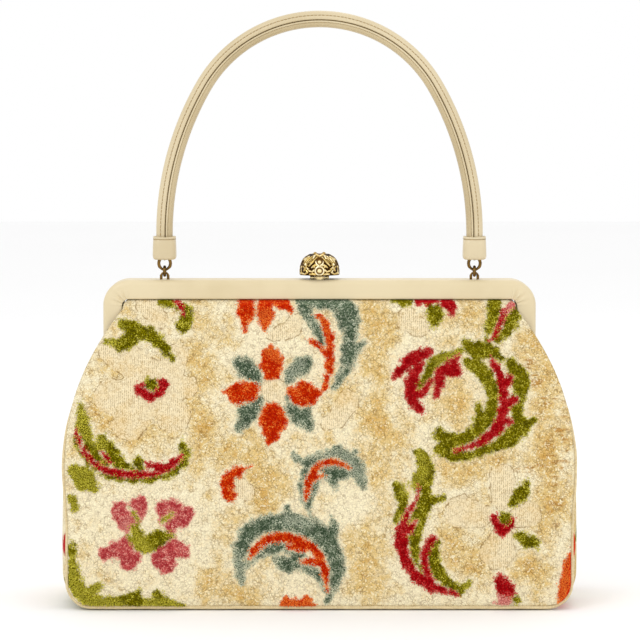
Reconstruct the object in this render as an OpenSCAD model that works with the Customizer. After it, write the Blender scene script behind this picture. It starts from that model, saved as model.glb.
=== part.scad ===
// Frame handbag in floral cut-pile carpet cloth.
// Millimetres. X is the width, the front faces -Y, Z is up, and the bag stands on Z = 0.

/* [Body] */
// How much wider than the frame the panels are at their widest
panel_over = 39; // [32:1:46]
// Depth over the panels at the bottom of the bag
body_depth = 104; // [90:1:130]
// Height above which the sides start to draw in
belly_z = 30; // [20:1:50]
// How late the sides draw in towards the frame
side_power = 4; // [3:0.5:5]
// How late the panels lean in towards the frame
lean_power = 1.8; // [1.4:0.1:2.4]
// Radius of the panels' bottom corners
corner_r = 14; // [8:1:22]
// Thickness of the carpet cloth
cloth_t = 2.2; // [1.6:0.1:2.8]
// Outward swell of the gusset at the sides
gusset_swell = 6.5; // [2:0.5:7]
// Height over which the swell dies out below the hinges
swell_fade = 55; // [40:5:80]
// Drop of the gusset's upper edge below the frame bar, at the seams
gusset_drop = 29; // [26:1:40]
// Dip of the gusset's upper edge between the seams
gusset_dip = 14; // [6:1:20]
// Diameter of the welt cord in the seams
welt_d = 2.6; // [2:0.1:3.4]

/* [Carpet figure] */
// Height that the coloured pile stands above the panel
pile_h = 1.4; // [0.8:0.1:2]
// Room between yarns of different colours
pile_gap = 0.4; // [0.2:0.1:0.8]
// Squares of the figure's draft across the widest part of the front
draft_cols = 503; // [480:1:530]
// Squares of the figure's draft from the hem to the frame bar
draft_rows = 312; // [300:1:330]

/* [Inside] */
// Thickness of the stiffening boards
board_t = 1.6; // [1.2:0.1:2.2]
// Margin of the boards inside the panels' edges
board_margin = 7; // [5:0.5:12]
// Thickness of the lining cloth
lining_t = 0.8; // [0.6:0.1:1.2]
// Room between two layers of the body
layer_gap = 0.3; // [0.2:0.05:0.5]

/* [Frame] */
// Width over the two legs of a bow
frame_w = 268; // [250:1:280]
// Height of the top of the frame
frame_top = 200; // [185:1:220]
// Face width of a covered bow
bow_w = 12; // [11:0.5:14]
// Thickness of one covered bow, front to back
bow_d = 12; // [11:0.5:14]
// Outer radius of a bow's upper corners
bow_corner_r = 16; // [15:0.5:22]
// Rounding of a bow's outer edge
bow_edge_r = 3; // [1.5:0.25:4]
// Gap between the closed bows
parting = 0.4; // [0.3:0.1:1]
// Thickness of the leather cover
leather_t = 1.2; // [0.9:0.1:1.5]
// Wall of the steel channel
channel_t = 1; // [0.7:0.1:1.3]
// Depth that the panels reach into the channels
tuck_in = 5; // [3:0.5:6]
// Depth of the hinge below the top of the frame
hinge_drop = 58; // [54:1:66]
// Gap between the legs' ends and the hinge axis
leg_gap = 10; // [9:0.5:13]
// Radius of a hinge ear
ear_r = 6.5; // [5.5:0.25:7.5]
// Thickness of a hinge ear
ear_t = 1.5; // [1:0.1:1.8]
// Diameter of the hinge rivets
rivet_d = 3.2; // [2.4:0.1:4]
// Running clearance round a pin
pin_clear = 0.05; // [0.03:0.01:0.1]
// Clearance between seated pieces
seat_clear = 0.1; // [0.05:0.01:0.2]

/* [Handle] */
// Distance of the chains from the ends of the frame
chain_inset = 38; // [32:0.5:44]
// Outer radius of the handle's side arcs
handle_side_r = 187.4; // [150:0.1:210]
// Half angle of the handle's top arc
handle_arc = 60; // [50:1:65]
// Thickness of the handle
handle_t = 10.2; // [9:0.1:12]
// Depth of the handle, front to back
handle_d = 10; // [9:0.1:12]
// Thickness of the handle's stitched outer half
strap_t = 5.6; // [5:0.1:6.5]
// Narrowing of the rolled inner half on each side
roll_inset = 0.7; // [0.4:0.1:1.2]
// Width of the spring strip in the handle
core_w = 5; // [4:0.1:6]
// Thickness of the spring strip in the handle
core_t = 1.2; // [0.8:0.1:1.6]
// Height of a keeper sleeve
keeper_h = 14.8; // [12:0.2:20]
// Wall of a keeper sleeve
keeper_wall = 2.1; // [1.6:0.1:2.6]
// Rounding of a keeper's lower corners
keeper_r = 2; // [1:0.25:5]

/* [Chain] */
// Height of a staple above the frame
staple_h = 4.9; // [4.5:0.1:6]
// Width over a staple
staple_w = 5.5; // [5.3:0.1:7]
// Wire of a staple
staple_wire = 1.2; // [1:0.05:1.3]
// Outer diameter of a link
link_d = 7.2; // [7.1:0.1:8]
// Wire of a link
link_wire = 2; // [1.8:0.05:2.1]
// Outer diameter of a keeper ring
ring_d = 9.6; // [8:0.1:10]
// Wire of a keeper ring
ring_wire = 1.4; // [1.2:0.05:1.5]
// Play where one piece of the chain hangs in the next
chain_play = 0.15; // [0.1:0.01:0.2]

/* [Clasp] */
// Diameter of the clasp dome
dome_d = 24.2; // [22:0.2:25]
// Height of the clasp dome
dome_h = 13.2; // [11:0.2:15]
// Fullness of the dome: 2 is round, more is squarer
dome_power = 3; // [2:0.1:4]
// Wall of the dome
dome_wall = 1.2; // [0.9:0.1:1.5]
// Gap between the frame and the rim of the dome
rim_gap = 2.6; // [2.4:0.1:3.2]
// Width of the clasp plate
plate_w = 11.9; // [11:0.1:14]
// Thickness of the clasp plate
plate_t = 1; // [0.8:0.1:1.2]
// Diameter of the clasp pin
clasp_pin_d = 1.6; // [1.2:0.1:1.8]
// Diameter of the catch stud's head
stud_d = 5; // [4:0.2:6]
// Height of the catch stud
stud_h = 1.8; // [1.4:0.1:2]

/* [Hidden] */
$fn = 64;

carpet = [0.93, 0.87, 0.72];
bone = [0.89, 0.83, 0.69];
gilt = [0.78, 0.62, 0.33];
steel = [0.7, 0.71, 0.72];

// Levels and depths of the frame
panel_w = frame_w + panel_over;
bar_z = frame_top - bow_w;
leg_x = frame_w / 2 - bow_w;
bow_mid = parting / 2 + bow_d / 2;
bow_face = parting / 2 + bow_d;
hinge_z = frame_top - hinge_drop;
bow_in_r = bow_corner_r - bow_w;

// The panels swell out just under the bar, in front of the legs
swell_drop = 6;
neck_z = bar_z - swell_drop;
neck_half = leg_x - layer_gap;
neck_y = bow_face + layer_gap + cloth_t + 0.5;
slot_y = bow_mid + cloth_t / 2;
slot_half = leg_x - bow_in_r - layer_gap;
panel_top = bar_z + tuck_in;
panel_bottom = welt_d + layer_gap;
base_y = body_depth / 2;

function smooth(t) = let(c = min(1, max(0, t))) c * c * (3 - 2 * c);
function mix(a, b, t) = a + (b - a) * t;

// Half width of a panel at height z, without its corners
function side_half(z) = let(t = min(1, max(0, z - belly_z) / (neck_z - belly_z)))
    panel_w / 2 - (panel_w / 2 - neck_half) * pow(t, side_power);

// Distance of a panel's outer face from the middle plane at height z
function panel_y(z) = z < neck_z
    ? base_y - (base_y - neck_y) * pow(max(0, z) / neck_z, lean_power)
    : mix(neck_y, slot_y, smooth((z - neck_z) / (bar_z - neck_z)));

// Right edge of a panel from the bottom up, drawn in by a margin
function corner_points(m) = let(r = max(2, corner_r - m / 2))
    [for (a = [0:15:90]) let(z = panel_bottom + m + r * (1 - cos(a)))
        [side_half(z) - m - r * (1 - sin(a)), z]];
function side_points(m, top) = let(low = panel_bottom + m + max(2, corner_r - m / 2), n = 14)
    [for (i = [1:n]) let(z = mix(low, top, i / n)) [side_half(z) - m, z]];
function right_edge(m, top) = concat(corner_points(m), side_points(m, top));
function mirrored(points) = [for (i = [len(points) - 1:-1:0]) [-points[i][0], points[i][1]]];
function closed(points) = concat(points, mirrored(points));

// Outline of a whole panel, with the part that enters the channel
panel_edge = concat(right_edge(0, neck_z), [
    for (a = [30:30:90]) [neck_half - (neck_half - slot_half) * (1 - cos(a)), mix(neck_z, bar_z, sin(a))]
], [[slot_half, panel_top]]);

// Heights at which the leaning profile of the body is set out
profile_z = concat(
    [for (i = [0:16]) mix(0, neck_z, i / 16)],
    [for (i = [1:4]) mix(neck_z, bar_z, i / 4)],
    [panel_top + 1]
);

module along_x(width) {
    rotate([90, 0, 90]) linear_extrude(width, center = true) children();
}

module along_y(depth) {
    rotate([90, 0, 0]) linear_extrude(depth, center = true) children();
}

// A layer of the leaning front wall: its outer face lies `inset` inside the panel's outer face
module wall_layer(inset, thick, width) {
    along_x(width) polygon(concat(
        [for (z = profile_z) [-panel_y(z) + inset, z]],
        [for (i = [len(profile_z) - 1:-1:0]) [-panel_y(profile_z[i]) + inset + thick, profile_z[i]]]
    ));
}

module carpet_panel() {
    intersection() {
        wall_layer(0, cloth_t, 2 * panel_w);
        along_y(body_depth * 2) polygon(closed(panel_edge));
    }
}

module front_panel() {
    color(carpet) carpet_panel();
}

module rear_panel() {
    color(carpet) mirror([0, 1, 0]) carpet_panel();
}

// Solids from grids of points

// Closed slab between two equal grids of points, row by row
module slab(front, back) {
    nr = len(front);
    nc = len(front[0]);
    n = nr * nc;
    flat = [for (g = [front, back]) for (row = g) for (p = row) p];
    function at(s, i, j) = s * n + i * nc + j;
    sheets = [for (i = [0:nr - 2]) for (j = [0:nc - 2]) each [
        [at(0, i, j), at(0, i + 1, j), at(0, i + 1, j + 1)],
        [at(0, i, j), at(0, i + 1, j + 1), at(0, i, j + 1)],
        [at(1, i, j), at(1, i + 1, j + 1), at(1, i + 1, j)],
        [at(1, i, j), at(1, i, j + 1), at(1, i + 1, j + 1)]
    ]];
    sides = [for (i = [0:nr - 2]) each [
        [at(0, i, 0), at(1, i, 0), at(1, i + 1, 0)],
        [at(0, i, 0), at(1, i + 1, 0), at(0, i + 1, 0)],
        [at(0, i, nc - 1), at(1, i + 1, nc - 1), at(1, i, nc - 1)],
        [at(0, i, nc - 1), at(0, i + 1, nc - 1), at(1, i + 1, nc - 1)]
    ]];
    ends = [for (j = [0:nc - 2]) each [
        [at(0, 0, j), at(1, 0, j + 1), at(1, 0, j)],
        [at(0, 0, j), at(0, 0, j + 1), at(1, 0, j + 1)],
        [at(0, nr - 1, j), at(1, nr - 1, j), at(1, nr - 1, j + 1)],
        [at(0, nr - 1, j), at(1, nr - 1, j + 1), at(0, nr - 1, j + 1)]
    ]];
    polyhedron(flat, concat(sheets, sides, ends));
}

// Round cord along a path of points that runs mostly across Y
module cord(path, d, sides = 8) {
    n = len(path);
    function unit(v) = v / norm(v);
    function tangent(i) = unit(path[min(n - 1, i + 1)] - path[max(0, i - 1)]);
    rings = [for (i = [0:n - 1]) let(t = tangent(i),
                                     u = unit([0, 1, 0] - t * t[1]),
                                     w = cross(t, u))
        for (k = [0:sides - 1]) path[i] + d / 2 * (cos(360 * k / sides) * u + sin(360 * k / sides) * w)];
    walls = [for (i = [0:n - 2]) for (k = [0:sides - 1]) let(m = (k + 1) % sides) each [
        [i * sides + k, (i + 1) * sides + k, (i + 1) * sides + m],
        [i * sides + k, (i + 1) * sides + m, i * sides + m]
    ]];
    caps = [
        [for (k = [0:sides - 1]) k],
        [for (k = [sides - 1:-1:0]) (n - 1) * sides + k]
    ];
    polyhedron(rings, concat(walls, caps));
}

// Gusset

gusset_top = bar_z - gusset_drop;

// Path of the seam, right side down, along the bottom and up the left side, at the share v of the depth
function gusset_rim(v) = gusset_top - gusset_dip * (1 - abs(v));
function seam_right(v) = concat(
    [for (i = [0:10]) let(low = panel_bottom + corner_r, z = mix(gusset_rim(v), low, i / 10))
        [side_half(z), z, [1, 0], 0]],
    [for (a = [15:15:90]) let(z = panel_bottom + corner_r * (1 - sin(a)))
        [side_half(z) - corner_r * (1 - cos(a)), z, [cos(a), -sin(a)], a / 90]]
);
function seam(v) = let(r = seam_right(v), n = len(r), last = r[n - 1]) concat(
    r,
    [for (s = [0.6, 0.2, -0.2, -0.6]) [s * last[0], last[1], last[2], 1]],
    [for (i = [n - 1:-1:0]) [-r[i][0], r[i][1], [-r[i][2][0], r[i][2][1]], r[i][3]]]
);

// The welt lies between the inner face of a panel and the edge of the gusset
seam_in = cloth_t + welt_d + 2 * layer_gap;

// The sides swell out in a curve, and the bottom sags to a flat resting face
bottom_flat = 0.8;
function swell(v, bottom, z) = mix(gusset_swell * smooth((gusset_top + 6 - z) / swell_fade) * (1 - v * v),
                                   panel_bottom * min(1, (1 - abs(v)) / (1 - bottom_flat)), bottom);
function gusset_point(s, v, out) = let(y = v * (panel_y(s[1]) - seam_in),
                                       o = swell(v, s[3], s[1]) + out)
    [s[0] + o * s[2][0], y, s[1] + o * s[2][1]];
gusset_v = [-1, -bottom_flat, -0.5, 0, 0.5, bottom_flat, 1];

module gusset() {
    outer = [for (v = gusset_v) [for (s = seam(v)) gusset_point(s, v, 0)]];
    inner = [for (v = gusset_v) [for (s = seam(v)) gusset_point(s, v, -cloth_t)]];
    color(carpet) slab(outer, inner);
}

// Welt cord in the seam, standing a little out of it
module welt() {
    off = welt_d / 10;
    path = [for (s = seam(1)) [
        s[0] + off * s[2][0],
        -(panel_y(s[1]) - cloth_t - layer_gap - welt_d / 2),
        s[1] + off * s[2][1]
    ]];
    cord(path, welt_d);
}

module front_welt() {
    color(bone) welt();
}

module rear_welt() {
    color(bone) mirror([0, 1, 0]) welt();
}

// Boards and lining

board_inset = cloth_t + layer_gap;
lining_inset = board_inset + board_t + layer_gap;
floor_z = cloth_t + layer_gap;

module board(top) {
    intersection() {
        wall_layer(board_inset, board_t, panel_w);
        along_y(body_depth * 2) polygon(closed(right_edge(board_margin, top)));
    }
}

// Height of the front board, clear of the bow's legs
front_board_top = bar_z - gusset_drop;

module front_board() {
    color("tan") board(front_board_top);
}

module rear_board() {
    color("tan") mirror([0, 1, 0]) board(hinge_z - 2);
}

base_half_x = panel_w / 2 - corner_r - board_margin;
base_half_y = bottom_flat * (base_y - seam_in) - 1;

module base_board() {
    r = board_margin;
    color("tan") translate([0, 0, floor_z]) linear_extrude(board_t) union() {
        square([2 * base_half_x, 2 * (base_half_y - r)], center = true);
        square([2 * (base_half_x - r), 2 * base_half_y], center = true);
        for (x = [-1, 1], y = [-1, 1]) translate([x * (base_half_x - r), y * (base_half_y - r)]) circle(r);
    }
}

// The lining is an open bag. Front and rear reach up to the bar, and the sides end under the hinges.
lining_floor = floor_z + board_t + layer_gap;
lining_side_top = hinge_z - ear_r - 5;
lining_front_top = bar_z - 2;
lining_sides = 40;
lining_foot = 0.08;
lining_levels = [0, 0.04, 0.12, 0.25, 0.4, 0.55, 0.7, 0.85, 1];

// Point of the lining on ray k at the share t of its height, in its outer or inner face
function lining_ray(k) = let(a = 360 * k / lining_sides) [
    sign(cos(a)) * pow(abs(cos(a)), 0.35), sign(sin(a)) * pow(abs(sin(a)), 0.35)
];
function lining_top(k) = let(x = abs(lining_ray(k)[0]))
    mix(lining_front_top, lining_side_top, smooth((x - 0.78) / 0.18));
function lining_point(k, t, in) = let(
    d = lining_ray(k),
    low = lining_floor + in,
    z = mix(low, lining_top(k), t),
    foot = 1 - lining_foot * pow(1 - t, 12),
    hx = side_half(z) - cloth_t - 3 * layer_gap - in,
    hy = panel_y(z) - lining_inset - in
) [d[0] * hx * foot, d[1] * hy * foot, z];

module lining() {
    n = lining_sides;
    m = len(lining_levels);
    rings = [for (in = [0, lining_t]) for (t = lining_levels) for (k = [0:n - 1]) lining_point(k, t, in)];
    function at(s, i, k) = s * n * m + i * n + (k % n);
    walls = [for (i = [0:m - 2]) for (k = [0:n - 1]) each [
        [at(0, i, k), at(0, i + 1, k), at(0, i + 1, k + 1)],
        [at(0, i, k), at(0, i + 1, k + 1), at(0, i, k + 1)],
        [at(1, i, k), at(1, i + 1, k + 1), at(1, i + 1, k)],
        [at(1, i, k), at(1, i, k + 1), at(1, i + 1, k + 1)]
    ]];
    rim = [for (k = [0:n - 1]) each [
        [at(0, m - 1, k), at(1, m - 1, k), at(1, m - 1, k + 1)],
        [at(0, m - 1, k), at(1, m - 1, k + 1), at(0, m - 1, k + 1)]
    ]];
    floors = [
        [for (k = [0:n - 1]) at(0, 0, k)],
        [for (k = [n - 1:-1:0]) at(1, 0, k)]
    ];
    color("wheat") polyhedron(rings, concat(walls, rim, floors));
}

// Frame

// Sweeps a section along a bow: 2D x runs from the outer edge (0) inwards (negative), 2D y from the parting out
module bow_sweep(leg_end) {
    leg_l = frame_top - bow_corner_r - leg_end;
    translate([0, -parting / 2, frame_top - bow_corner_r]) {
        multmatrix([[0, 0, 1, 0], [0, -1, 0, 0], [1, 0, 0, bow_corner_r], [0, 0, 0, 1]])
            linear_extrude(frame_w - 2 * bow_corner_r, center = true) children();
        for (s = [0, 1]) mirror([s, 0, 0]) translate([frame_w / 2 - bow_corner_r, 0, 0]) {
            rotate([90, 0, 0]) rotate_extrude(angle = 90) translate([bow_corner_r, 0]) children();
            translate([bow_corner_r, 0, 0]) rotate([180, 0, 0]) linear_extrude(leg_l) children();
        }
    }
}

// Corner that a round edge of radius r leaves, to be cut away at the origin
module edge_cut(r) {
    difference() {
        translate([-r, -r]) square(2 * r);
        translate([-r, -r]) circle(r);
    }
}

module cover_section() {
    difference() {
        translate([-bow_w, 0]) square([bow_w, bow_d]);
        translate([0, bow_d]) edge_cut(bow_edge_r);
        translate([-bow_w - 1, leather_t]) square([bow_w - leather_t + 1, bow_d - 2 * leather_t - bow_edge_r / 3]);
    }
}

channel_in = leather_t + seat_clear;
channel_face = bow_d - leather_t - bow_edge_r / 3 - seat_clear;
channel_lip = 0.8;

module channel_section() {
    difference() {
        translate([-bow_w + channel_lip, channel_in]) square([bow_w - channel_lip - channel_in, channel_face - channel_in]);
        translate([-bow_w - 1, channel_in + channel_t])
            square([bow_w + 1 - channel_in - channel_t, channel_face - channel_in - 2 * channel_t]);
    }
}

staple_leg = staple_w / 2 - staple_wire / 2;
staple_root = leather_t + channel_t + 1.5;

// Holes in the top of the front bow for the legs of the staples
module staple_holes() {
    for (s = [-1, 1], t = [-1, 1])
        translate([s * chain_x + t * staple_leg, -bow_mid, frame_top - staple_root - 1])
            cylinder(d = staple_wire + 2 * pin_clear, h = staple_root + 2);
}

// Root of the catch stud and the clasp plate's rivets in the bows
stud_root_d = 2;
module stud_hole() {
    translate([0, -bow_mid, frame_top - staple_root - 1]) cylinder(d = stud_root_d + 2 * pin_clear, h = staple_root + 2);
}

module front_bow_cover() {
    color(bone) difference() {
        bow_sweep(hinge_z + leg_gap) cover_section();
        staple_holes();
        stud_hole();
    }
}

module rear_bow_cover() {
    color(bone) mirror([0, 1, 0]) difference() {
        bow_sweep(hinge_z + leg_gap) cover_section();
        stud_hole();
    }
}

// Ear plate in the plane of a leg's outer wall, from the leg down to the hinge axis
module ear_outline() {
    near = parting / 2 + channel_in;
    far = parting / 2 + channel_face;
    difference() {
        union() {
            circle(ear_r);
            polygon([[-far, 2 * leg_gap], [-near, 2 * leg_gap], [-near, leg_gap],
                     [0.85 * ear_r, 0.5 * ear_r], [0, -0.3 * ear_r], [-0.9 * ear_r, 0.4 * ear_r], [-far, leg_gap]]);
        }
        circle(d = rivet_d + 2 * pin_clear);
    }
}

module ear(x, thick) {
    translate([x, 0, hinge_z]) rotate([90, 0, 90]) linear_extrude(thick) ear_outline();
}

front_ear_x = frame_w / 2 - channel_in - ear_t;
ear_gap = 0.3;
rear_ear_x = front_ear_x - ear_gap - ear_t;

module front_bow() {
    color(steel) difference() {
        union() {
            bow_sweep(hinge_z + leg_gap) channel_section();
            for (s = [0, 1]) mirror([s, 0, 0]) ear(front_ear_x, ear_t);
        }
        staple_holes();
        stud_hole();
    }
}

// The rear bow's ears lie inside the front bow's, each on a packing piece in its leg
module rear_bow() {
    near = parting / 2 + channel_in;
    far = parting / 2 + channel_face;
    pack_w = frame_w / 2 - channel_in - rear_ear_x;
    color(steel) mirror([0, 1, 0]) difference() {
        union() {
            bow_sweep(hinge_z + leg_gap) channel_section();
            for (s = [0, 1]) mirror([s, 0, 0]) {
                ear(rear_ear_x, ear_t);
                translate([rear_ear_x, -far, hinge_z + leg_gap]) cube([pack_w, far - near, leg_gap]);
            }
        }
        stud_hole();
    }
}

head_t = 1.2;
head_d = 2 * rivet_d;

module hinge_rivet() {
    grip_in = rear_ear_x - seat_clear;
    grip_out = front_ear_x + ear_t + seat_clear;
    translate([0, 0, hinge_z]) rotate([0, 90, 0]) {
        translate([0, 0, grip_in - head_t]) cylinder(d = head_d, h = head_t);
        translate([0, 0, grip_in - head_t]) cylinder(d = rivet_d, h = grip_out - grip_in + 2 * head_t);
        translate([0, 0, grip_out]) cylinder(d = head_d, h = head_t);
    }
}

module right_hinge_rivet() {
    color(steel) hinge_rivet();
}

module left_hinge_rivet() {
    color(steel) mirror([1, 0, 0]) hinge_rivet();
}

// Chains: each piece hangs in the one below it

staple_z = frame_top + staple_h - staple_wire / 2;
link_r = (link_d - link_wire) / 2;
link_z = staple_z + link_r - link_wire / 2 - staple_wire / 2 - chain_play;
ring_r = (ring_d - ring_wire) / 2;
ring_foot_z = link_z + link_r - link_wire / 2 - ring_wire / 2 - chain_play;
ring_z = ring_foot_z + ring_r;
ring_top_z = ring_z + ring_r;
eye_d = ring_wire + 2 * chain_play + 0.3;
eye_z = ring_top_z + eye_d / 2 - ring_wire / 2 - chain_play;

// Handle

keeper_z = ring_top_z - 1.8;
handle_end_z = keeper_z + keeper_h + 1.2;
chain_x = frame_w / 2 - chain_inset;
handle_edge_x = chain_x + handle_t / 2;
handle_side_x = handle_edge_x - handle_side_r;
handle_top_r = handle_side_r + handle_side_x / sin(handle_arc);
handle_top_z = handle_end_z + (handle_side_r - handle_top_r) * cos(handle_arc);
strap_end = ring_top_z + ring_wire / 2 + 1.2;

// Places along the handle's outer edge from the right end to the top: [x, z, angle of the outward direction]
handle_step = 6;
function handle_right(end) = concat(
    [[handle_edge_x, end, 0]],
    [for (i = [0:handle_step]) let(a = (90 - handle_arc) * i / handle_step)
        [handle_side_x + handle_side_r * cos(a), handle_end_z + handle_side_r * sin(a), a]],
    [for (i = [1:2 * handle_step - 1]) let(a = 90 - handle_arc + handle_arc * i / (2 * handle_step))
        [handle_top_r * cos(a), handle_top_z + handle_top_r * sin(a), a]]
);
function handle_path(end) = let(r = handle_right(end)) concat(
    r,
    [[0, handle_top_z + handle_top_r, 90]],
    [for (i = [len(r) - 1:-1:0]) [-r[i][0], r[i][1], 180 - r[i][2]]]
);

// Sweeps a section along the handle: its points are [depth below the outer edge, place front to back].
// Each end is closed by flat faces, given as lists of the section's points
module handle_sweep(end, section, faces) {
    path = handle_path(end);
    n = len(path);
    m = len(section);
    rings = [for (q = path) for (c = section)
        [q[0] - c[0] * cos(q[2]), c[1] - bow_mid, q[1] - c[0] * sin(q[2])]];
    walls = [for (i = [0:n - 2]) for (k = [0:m - 1]) let(l = (k + 1) % m) each [
        [i * m + k, (i + 1) * m + l, (i + 1) * m + k],
        [i * m + k, i * m + l, (i + 1) * m + l]
    ]];
    near = [for (f = faces) [for (j = [len(f) - 1:-1:0]) f[j]]];
    far = [for (f = faces) [for (k = f) (n - 1) * m + k]];
    polyhedron(rings, concat(walls, near, far));
}

function quarter(u, y, r, from) = [for (a = [0:30:90]) [u + r * cos(from + a), y + r * sin(from + a)]];
core_u = handle_t / 2;
groove_y = core_w / 2 + seat_clear;

// Stitched outer half, rounded outside, with a groove for the spring strip
strap_edge_r = 2.6;
groove_u = core_u - core_t / 2 - seat_clear;
strap_section = concat(
    quarter(strap_edge_r, handle_d / 2 - strap_edge_r, strap_edge_r, 90),
    quarter(strap_edge_r, strap_edge_r - handle_d / 2, strap_edge_r, 180),
    [[groove_u, -handle_d / 2], [strap_t, -handle_d / 2], [strap_t, -groove_y], [groove_u, -groove_y]],
    [[groove_u, groove_y], [strap_t, groove_y], [strap_t, handle_d / 2], [groove_u, handle_d / 2]]
);
strap_faces = [[2, 3, 4, 5, 6, 7, 8, 11, 12, 15, 0, 1], [8, 9, 10, 11], [12, 13, 14, 15]];

// Rolled inner half, rounded inside
roll_edge_r = 3;
roll_half = handle_d / 2 - roll_inset;
roll_top = strap_t + seat_clear;
roll_groove = max(roll_top + 0.05, core_u + core_t / 2 + seat_clear);
roll_section = concat(
    quarter(handle_t - roll_edge_r, roll_edge_r - roll_half, roll_edge_r, -90),
    quarter(handle_t - roll_edge_r, roll_half - roll_edge_r, roll_edge_r, 0),
    [[roll_groove, roll_half], [roll_top, roll_half], [roll_top, groove_y], [roll_groove, groove_y]],
    [[roll_groove, -groove_y], [roll_top, -groove_y], [roll_top, -roll_half], [roll_groove, -roll_half]]
);
roll_faces = strap_faces;

core_section = [
    [core_u - core_t / 2, -core_w / 2], [core_u + core_t / 2, -core_w / 2],
    [core_u + core_t / 2, core_w / 2], [core_u - core_t / 2, core_w / 2]
];

module handle_strap() {
    color(bone) handle_sweep(strap_end, strap_section, strap_faces);
}

module handle_roll() {
    color(bone) handle_sweep(strap_end, roll_section, roll_faces);
}

// End of the spring strip: a round plate with an eye for the ring
module core_eye() {
    plate_d = core_w - seat_clear;
    rotate([90, 0, 90]) linear_extrude(core_t - seat_clear, center = true) difference() {
        union() {
            circle(d = plate_d);
            translate([-plate_d / 2, 0]) square([plate_d, strap_end - eye_z + 2]);
        }
        circle(d = eye_d);
    }
}

module handle_core() {
    color(steel) {
        handle_sweep(strap_end + 0.5, core_section, [[0, 1, 2, 3]]);
        for (s = [-1, 1]) translate([s * chain_x, -bow_mid, eye_z]) core_eye();
    }
}

// Rounded rectangle about the origin
module rounded(w, d, r) {
    union() {
        square([w, d - 2 * r], center = true);
        square([w - 2 * r, d], center = true);
        for (x = [-1, 1], y = [-1, 1]) translate([x * (w / 2 - r), y * (d / 2 - r)]) circle(r);
    }
}

keeper_fit = 0.15;
keeper_w = handle_t + 2 * keeper_fit + 2 * keeper_wall;
keeper_d = handle_d + 2 * keeper_fit + 2 * keeper_wall;

module keeper(side) {
    color(bone) translate([side * chain_x, -bow_mid, keeper_z]) intersection() {
        linear_extrude(keeper_h) difference() {
            rounded(keeper_w, keeper_d, keeper_wall);
            square([keeper_w - 2 * keeper_wall, keeper_d - 2 * keeper_wall], center = true);
        }
        translate([0, 0, keeper_h]) along_y(2 * keeper_d) rounded(keeper_w, 2 * keeper_h, keeper_r);
    }
}

module left_keeper() {
    keeper(-1);
}

module right_keeper() {
    keeper(1);
}

module ring(side) {
    color(gilt) translate([side * chain_x, -bow_mid, ring_z]) rotate([90, 0, 0])
        rotate_extrude() translate([ring_r, 0]) circle(d = ring_wire);
}

module left_ring() {
    ring(-1);
}

module right_ring() {
    ring(1);
}

module link(side) {
    color(gilt) translate([side * chain_x, -bow_mid, link_z]) rotate([0, 90, 0])
        rotate_extrude() translate([link_r, 0]) circle(d = link_wire);
}

module left_link() {
    link(-1);
}

module right_link() {
    link(1);
}

module staple(side) {
    bend_z = staple_z - staple_leg;
    color(gilt) translate([side * chain_x, -bow_mid, 0]) {
        translate([0, 0, bend_z]) rotate([90, 0, 0]) rotate_extrude(angle = 180)
            translate([staple_leg, 0]) circle(d = staple_wire);
        for (t = [-1, 1]) translate([t * staple_leg, 0, frame_top - staple_root])
            cylinder(d = staple_wire, h = bend_z - frame_top + staple_root);
    }
}

module left_staple() {
    staple(-1);
}

module right_staple() {
    staple(1);
}

// Clasp

dome_y = bow_face - dome_d / 2 - 1;
clasp_pin_y = bow_face + 0.4;
clasp_pin_z = frame_top + plate_t + clasp_pin_d / 2 + 0.1;
knuckle_d = clasp_pin_d + 1.4;
knuckle_w = plate_w * 0.5;
lug_gap = 0.2;

module clasp_plate() {
    flat_back = bow_face - bow_edge_r;
    front = parting / 2 + 0.6;
    lug_w = (plate_w - knuckle_w) / 2 - lug_gap;
    color(gilt) difference() {
        union() {
            translate([-plate_w / 2, front, frame_top]) cube([plate_w, flat_back - front, plate_t]);
            for (s = [0, 1]) mirror([s, 0, 0]) translate([plate_w / 2 - lug_w, 0, 0]) {
                translate([0, flat_back - 1, frame_top]) cube([lug_w, clasp_pin_y - flat_back + 1, plate_t]);
                translate([0, clasp_pin_y, clasp_pin_z]) rotate([0, 90, 0]) cylinder(d = knuckle_d, h = lug_w);
            }
            translate([0, bow_mid, frame_top - staple_root]) cylinder(d = stud_root_d, h = staple_root + plate_t);
        }
        translate([0, clasp_pin_y, clasp_pin_z]) rotate([0, 90, 0])
            cylinder(d = clasp_pin_d + 2 * pin_clear, h = plate_w + 2, center = true);
    }
}

module clasp_pin() {
    color(gilt) translate([0, clasp_pin_y, clasp_pin_z]) rotate([0, 90, 0])
        cylinder(d = clasp_pin_d, h = plate_w, center = true);
}

// Share of the dome's radius at a share of its height
function dome_share(t) = pow(1 - pow(t, dome_power), 0.435);

// Half section of the dome, drawn in by a wall
module dome_half(in) {
    r = dome_d / 2 - in;
    h = dome_h - in;
    polygon(concat(
        [[0, h], [0, -in], [r, -in]],
        [for (t = [0, 0.25, 0.42, 0.55, 0.66, 0.75, 0.83, 0.9, 0.95, 0.985]) [r * dome_share(t), h * t]]
    ));
}

// Round boss on the front of the dome at a height above its rim
bead_d = 4.6;
module bead(z) {
    translate([0, -dome_d / 2 * dome_share(z / dome_h), z]) {
        sphere(d = bead_d);
        rotate([90, 0, 0]) rotate_extrude() translate([bead_d / 2 + 0.3, 0]) circle(d = 1);
    }
}

bead_low = 3;
bead_high = 8.4;

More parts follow.
